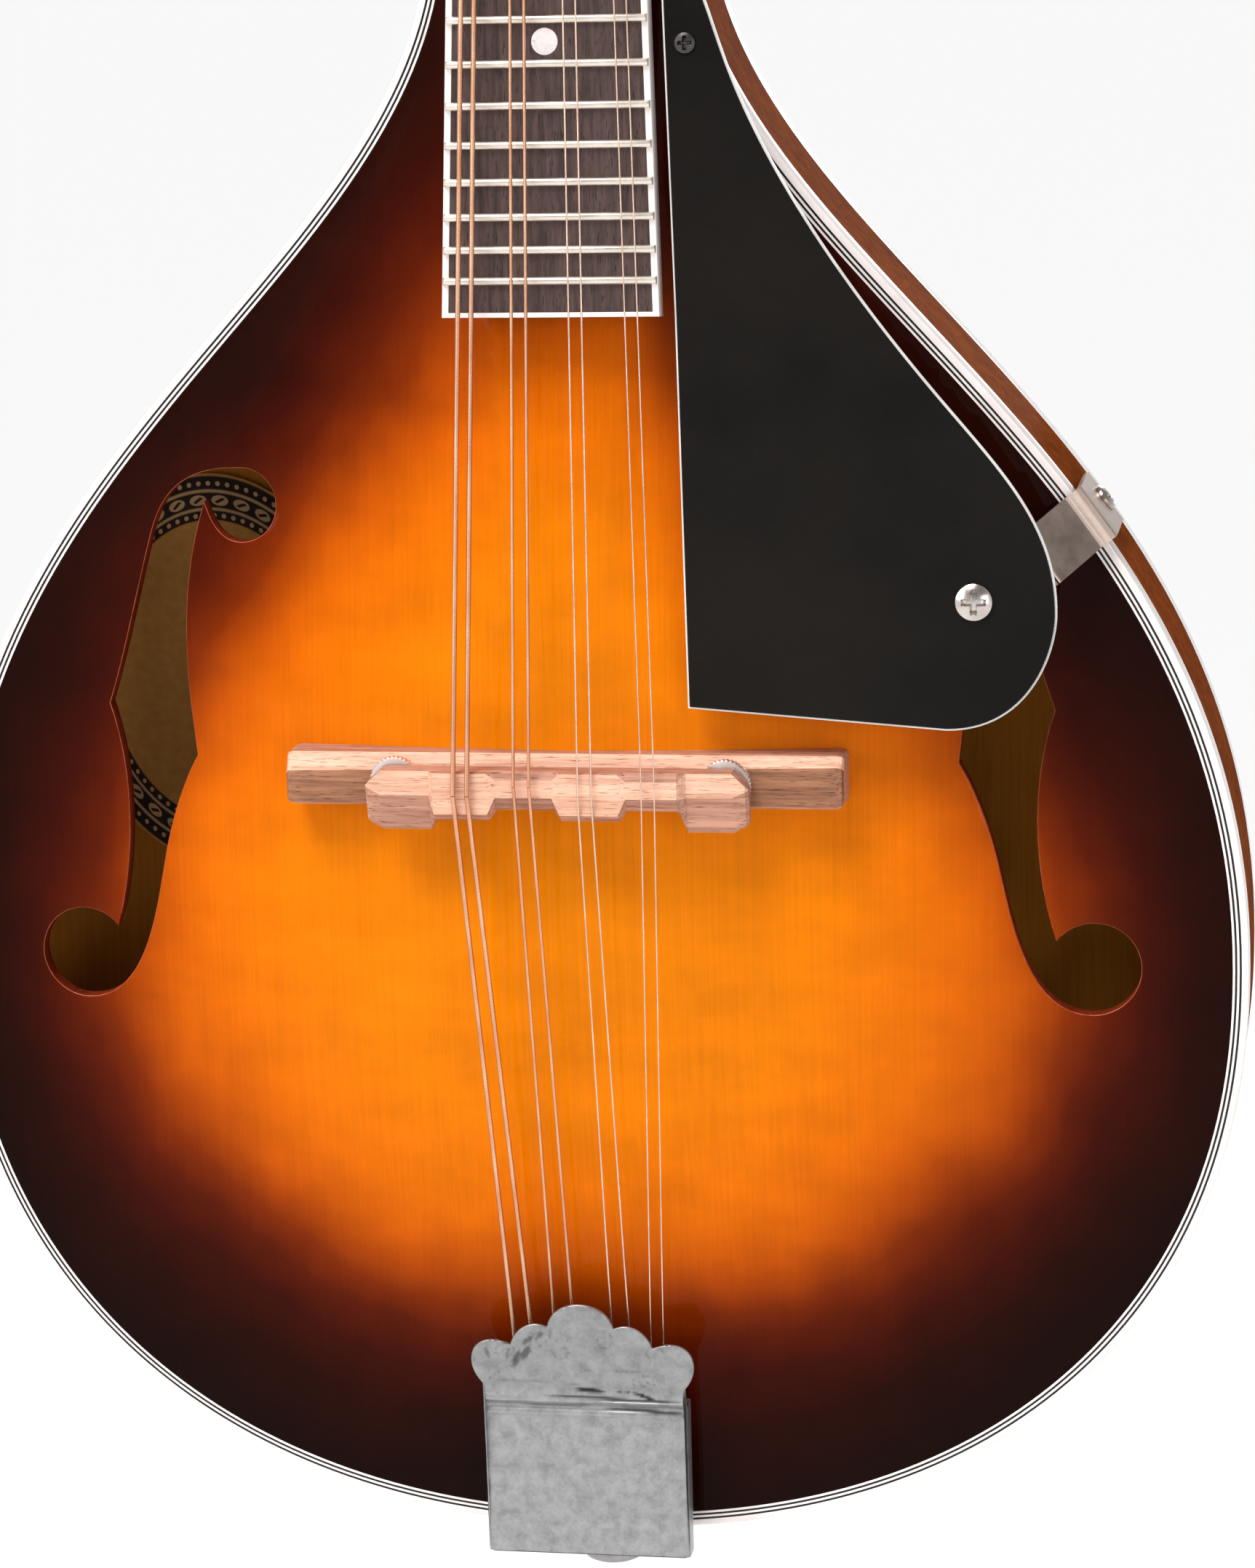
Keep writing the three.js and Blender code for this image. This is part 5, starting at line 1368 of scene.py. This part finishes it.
def tailpiece():
    wide = 21.3
    loop = outline(
        (-wide + 0.8, TAIL_Z - 2.2),
        (wide - 0.8, TAIL_Z - 2.2),
        ((wide - 0.2, TAIL_Z - 2.2), (wide, TAIL_Z - 2), (wide, TAIL_Z - 1.2)),
        (wide, -126.5),
        ((25.6, -121.5), (23, -113.8), (14.9, -117.4)),
        ((13.6, -113.4), (10, -111.6), (7, -113.2)),
        ((5.6, -106.2), (-5.6, -106.2), (-7, -113.2)),
        ((-10, -111.6), (-13.6, -113.4), (-14.9, -117.4)),
        ((-23, -113.8), (-25.6, -121.5), (-wide, -126.5)),
        (-wide, TAIL_Z - 1.2),
        ((-wide, TAIL_Z - 2), (-wide + 0.2, TAIL_Z - 2.2), (-wide + 0.8, TAIL_Z - 2.2)),
        count=18,
    )
    drawn, leaves_and_fold_shade = engraving_and_fold_shade()
    profile = [(-170, 9), (-150, 9.25), (-134, 9.4), (-130.4, 9.9), (-127.4, 11.1), (-104, 14.75)]
    profile = through(profile, 16)

    def under(x, z):
        beads = sum(0.7 * np.exp(-(((z - at) / 0.6) ** 2)) for at in (-133, -130.3))
        return np.interp(z, profile[:, 0], profile[:, 1]) + beads

    def marked(x, z):
        near = np.full(len(x), 9.0)
        at = np.c_[x, z]
        lip = z > -127
        for part in np.array_split(drawn, 12):
            away = np.linalg.norm(at[lip][:, None] - part[None], axis=2).min(1)
            near[lip] = np.minimum(near[lip], away)
        mark = np.maximum(0.45 * np.exp(-((near / 0.22) ** 2)), np.interp(z, (-129, -127), (0, 0.14)))
        # dark leaves of the engraving, and the fold lines painted as shade
        for cx, cz, long, wide, degrees, tone in leaves_and_fold_shade:
            c, s = math.cos(math.radians(degrees)), math.sin(math.radians(degrees))
            u, v = ((x - cx) * c + (z - cz) * s) / long, ((z - cz) * c - (x - cx) * s) / wide
            mark = np.maximum(mark, tone * np.clip(2.4 - 2 * np.hypot(u, v), 0, 1))
        return mark

    panel(
        "tailpiece_cover_engraved", loop, lambda x, z: under(x, z) + 1 - 0.16 * marked(x, z), under,
        ("tail",), edge=0.4, steps=3, spacing=0.55, painted={"engraved": marked}, body="tailpiece_cover",
        slot="tailpiece_nickel", stands_for=("tailpiece_cover",), sharp=60
    )
    for side, d in SIDES:
        sheet = ((0.05, 9.8), (0.05, 5.2), (0.4, 5), (0.9, 5.2), (0.9, 9.8))
        rings = [[(d * (wide - inset), h, z) for inset, h in sheet] for z in (TAIL_Z - 2, -131)]
        name = side + "_tailpiece_side"
        loft(name, rings, "tail", body="tailpiece_cover", slot="tailpiece_nickel")
    softened("tailpiece_base", "nickel", 0.2)
    for number, (x, height) in enumerate(((-8.5, -27), (8.5, -27), (0, -3))):
        at = (x, height, TAIL_Z - GAP - 1.4)
        screw(f"tailpiece_screw_{number + 1}", 2.2, at, "tail", sides=40, slot="nickel")
    pin = [
        (0, -16), (3, -16), (3, 1.8), (5.7, 1.8), (6.3, 2.1), (6.4, 2.8), (5.6, 3.8), (4.4, 5), (4, 6.2),
        (4, 8), (4.6, 9.2), (6, 10.3), (6.6, 11.2), (6.7, 12.4), (6.3, 13.2), (5.2, 13.8), (0, 13.8)
    ]
    flipped = [(r, -h) for r, h in pin]
    at = (0, END_PIN_HEIGHT, TAIL_Z)
    turned_piece("end_pin_turned", flipped, "pin", "along", at, 48, slot="nickel", stands_for=("end_pin",))


# ------------------------------------------------------------------ pickguard
def pickguard():
    corners = outline(
        (22.2, 163),
        (24.2, 94.2),
        (25.8, 17.2),
        (77, 13.2),
        ((93, 13.2), (98.4, 28), (98.6, 36)),
        ((98.8, 52), (90, 62), (78, 76)),
        ((60, 97), (42, 122), (34, 146)),
        ((31.5, 153), (29, 163), (25, 164.6)),
        count=26,
    )
    loop = corners - (0, GUARD_START_Z)
    screw_at, pin_at = (82.5, 38.7 - GUARD_START_Z), (27, 147 - GUARD_START_Z)
    holes = [circle(at, 1.9, 24) for at in (screw_at, pin_at)]
    shared = {"holes": holes, "place": GUARD, "slot": "pickguard_plastic", "spacing": 14}
    white, ply = ("guard_edge",), level(-0.75)
    panel("pickguard_white_ply", loop, ply, level(-2), white, edge=0.12, steps=1, **shared)
    face = offset(loop if area(loop) > 0 else loop[::-1], 0.42)
    shared["stands_for"] = ("pickguard",)
    panel("pickguard_black_ply", face, level(0), ply, ("guard",), edge=0.2, **shared)
    more = {"slot": "nickel", "stands_for": ("pickguard_screw",)}
    screw("pickguard_screw_head", 3.6, (screw_at[0], 0.02, screw_at[1]), place=GUARD, shank=6, **more)
    more = {"look": "steel", "slot": "steel", "stands_for": ("pickguard_pin",)}
    screw("pickguard_pin_head", 2.0, (pin_at[0], 0.02, pin_at[1]), place=GUARD, sides=40, shank=8, **more)
    rim_z, width, sheet = 53, 12, 1.2
    line = treble_side(400)
    here = int(np.argmin(np.abs(line[200:, 1] - rim_z))) + 200
    along = line[here + 1] - line[here - 1]
    place = BODY @ Matrix.Translation((line[here, 0] * MM, 0, line[here, 1] * MM))
    place = place @ Matrix.Rotation(-math.atan2(-along[0], along[1]), 4, "Y")
    bend = [
        (-31, 13.2), (-13, 13.2), (-11, 13), (-9.4, 11.6), (-3, 4), (-1.4, 2.6), (0, 2.2), (1.1, 1.7),
        (1.6, 0.4), (1.6, -19.5)
    ]
    path = through(bend, 5)
    section = strip_of(path, sheet)
    rings = [[(x, h, z) for x, h in section] for z in (-width / 2, width / 2)]
    points, faces = skin(rings, capped=False)
    n = len(section)
    for base in (0, n):
        faces += [(base + i, base + i + 1, base + n - 2 - i, base + n - 1 - i) for i in range(n // 2 - 1)]
    more = {"place": place, "slot": "nickel"}
    node = ("pickguard_bracket",)
    strap = mesh_piece("pickguard_strap", points, faces, ("bracket",), stands_for=node, **more)
    eased(strap, 0.2, 50)
    screw("strap_screw", 2.9, (2.3, -14.5, 0), "side", shank=6, stands_for=("bracket_screw",), **more)


# ------------------------------------------------------------------ strings
POST_NECK_RADIUS = 2.55
STRING_ON_POST = 6.3  # the height at which a string meets its post
LOOP_WIRE = 0.2  # radius
TWIST_LENGTH = 9  # how far the loop's end is twisted round its string
TWIST_TURNS = 7
TAIL_LENGTH = 130  # from the hooks to the saddle, rounded
TAIL_RISE = 21


def on_world(place, x, height, z):
    """A point of a frame as (x, height, z) in millimetres of the whole part's frame."""
    p = world(place, x, height, z) / MM
    return (p.x, -p.y, p.z)


def strings():
    here = Matrix.Identity(4)
    for number, (name, radius, nut_x, saddle_x, hook_x) in enumerate(STRINGS):
        bass = number < 4
        side, d = SIDES[0] if bass else SIDES[1]
        row = number if bass else 7 - number
        post_z = FIRST_POST_Z + row * POST_PITCH
        look, slot = ("wound", "wound_string") if bass else ("plain", "plain_string")
        coil = POST_NECK_RADIUS + radius
        hook = on_world(BODY, hook_x, HOOK_HEIGHT, HOOK_Z + GAP)
        saddle = on_world(BRIDGE, saddle_x, STRING_AT_SADDLE + radius, -1 if number % 4 < 2 else 1)
        nut = on_world(NECK, nut_x, STRING_AT_NUT + radius, 0)
        behind = on_world(NECK, nut_x, STRING_AT_NUT + radius - 0.2, HEAD_START - 0.6)
        post = on_world(HEAD, d * (POST_X - coil), STRING_ON_POST, post_z)
        node = "string_" + name
        more = {"place": here, "sides": 14, "body": None, "slot": slot, "stands_for": (node,)}
        tail = wire(node + "_tail", [hook, saddle], radius, look, **more)
        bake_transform(tail)
        long = wire(node + "_speaking", [saddle, nut, behind, post], radius, look, **more)
        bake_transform(long)
        turn = np.linspace(0, 2 * math.pi, 25)
        loop_z = HOOK_Z - 0.7 - 1.6 * np.cos(turn)
        loop = np.c_[hook_x + 1.5 * np.sin(turn), np.full(25, HOOK_HEIGHT), loop_z]
        t = np.linspace(0, 1, 90)
        around, reach = t * 2 * TWIST_TURNS * math.pi, radius + 0.15
        twist = np.c_[
            hook_x + (saddle_x - hook_x) * t * TWIST_LENGTH / TAIL_LENGTH + reach * np.cos(around),
            HOOK_HEIGHT + TAIL_RISE * t * TWIST_LENGTH / TAIL_LENGTH + reach * np.sin(around),
            HOOK_Z + 1.2 + TWIST_LENGTH * t,
        ]
        wire(node + "_loop", np.r_[loop, twist], LOOP_WIRE, look, sides=8, slot=slot)
        turns = 2.4 if radius > 0.4 else 3.2
        t = np.linspace(0, 1, 100)
        angle = math.pi * (1 if d > 0 else 0) - d * t * turns * 2 * math.pi
        up = STRING_ON_POST + t * min(turns * (2 * radius + 0.06), 2.7)
        winding = np.c_[d * POST_X + coil * np.cos(angle), up, post_z + coil * np.sin(angle)]
        body = f"{side}_post_{row + 1}"
        wire(node + "_winding", winding, radius, look, place=HEAD, body=body, sides=10, slot=slot)


# ------------------------------------------------------------------ room and light
# metres
FLOOR_HALF_SIZE = 40.0
FLOOR_DROP = 0.42
LIT_POINT = Vector((0, 0, -0.3))
FLOOR_GREY = 0.86
SKY = ((0.0, 0.68), (0.42, 0.26))  # how far upwards the direction points, and the light from there
SUN = 3.0
SUN_AT = (-30, 58, 2.0)  # azimuth, elevation and distance
# name, azimuth, elevation, distance, width and power
LAMPS = (
    ("front_lamp", -50, 20, 1.8, 0.8, 8),
    ("side_lamp", 34, 6, 2.2, 0.7, 6),
    ("back_lamp", 180, 25, 2.0, 1.2, 14),
)


def studio():
    """A plain pale floor, a sky that darkens upwards, a sun and three soft lamps."""
    size = FLOOR_HALF_SIZE
    mesh = bpy.data.meshes.new("floor")
    z = cad_box[0].z - FLOOR_DROP
    corners = [(-size, -size, z), (size, -size, z), (size, size, z), (-size, size, z)]
    mesh.from_pydata(corners, [], [(0, 1, 2, 3)])
    look = Look("floor", roughness=0.9, specular=0.0)
    look.colour((FLOOR_GREY, FLOOR_GREY, FLOOR_GREY, 1))
    mesh.materials.append(look.material)
    show("floor", mesh)

    sky = bpy.data.worlds.new("sky")
    sky.use_nodes = True
    shade = sky.node_tree.nodes["Background"]
    shade.inputs["Strength"].default_value = 1.0
    nodes, links = sky.node_tree.nodes, sky.node_tree.links
    parts, ramp = nodes.new("ShaderNodeSeparateXYZ"), nodes.new("ShaderNodeValToRGB")
    links.new(nodes.new("ShaderNodeTexCoord").outputs["Generated"], parts.inputs[0])
    links.new(parts.outputs["Z"], ramp.inputs[0])
    links.new(ramp.outputs["Color"], shade.inputs["Color"])
    for stop, (height, light) in zip(ramp.color_ramp.elements, SKY):
        stop.position = height
        stop.color = (light, light, light, 1)
    bpy.context.scene.world = sky

    sun = bpy.data.lights.new("sun", "SUN")
    sun.energy = SUN
    sun.angle = math.radians(30)
    aimed(sun, *SUN_AT)
    for name, azimuth, elevation, distance, wide, power in LAMPS:
        lamp = bpy.data.lights.new(name, "AREA")
        lamp.shape = "RECTANGLE"
        lamp.size, lamp.size_y = wide, wide * 1.3
        lamp.energy = power
        aimed(lamp, azimuth, elevation, distance)
    bpy.context.scene.view_settings.view_transform = "Standard"


def aimed(light, azimuth, elevation, distance):
    """Places a light round the mandolin, at angles counted from its front, facing it."""
    a, e = math.radians(azimuth), math.radians(elevation)
    back = Vector((math.sin(a) * math.cos(e), -math.cos(a) * math.cos(e), math.sin(e)))
    turn = back.to_track_quat("Z", "Y").to_matrix().to_4x4()
    lamp = show(light.name, light)
    lamp.matrix_world = Matrix.Translation(LIT_POINT + back * distance) @ turn


plates()
edges_and_ribs()
label()
neck_wood()
headstock_face()
for side, d in SIDES:
    tuner_plate(side, d)
for side, d, number, z in post_places():
    tuner(side, d, number, z)
fingerboard()
bridge()
tailpiece()
pickguard()
strings()
studio()
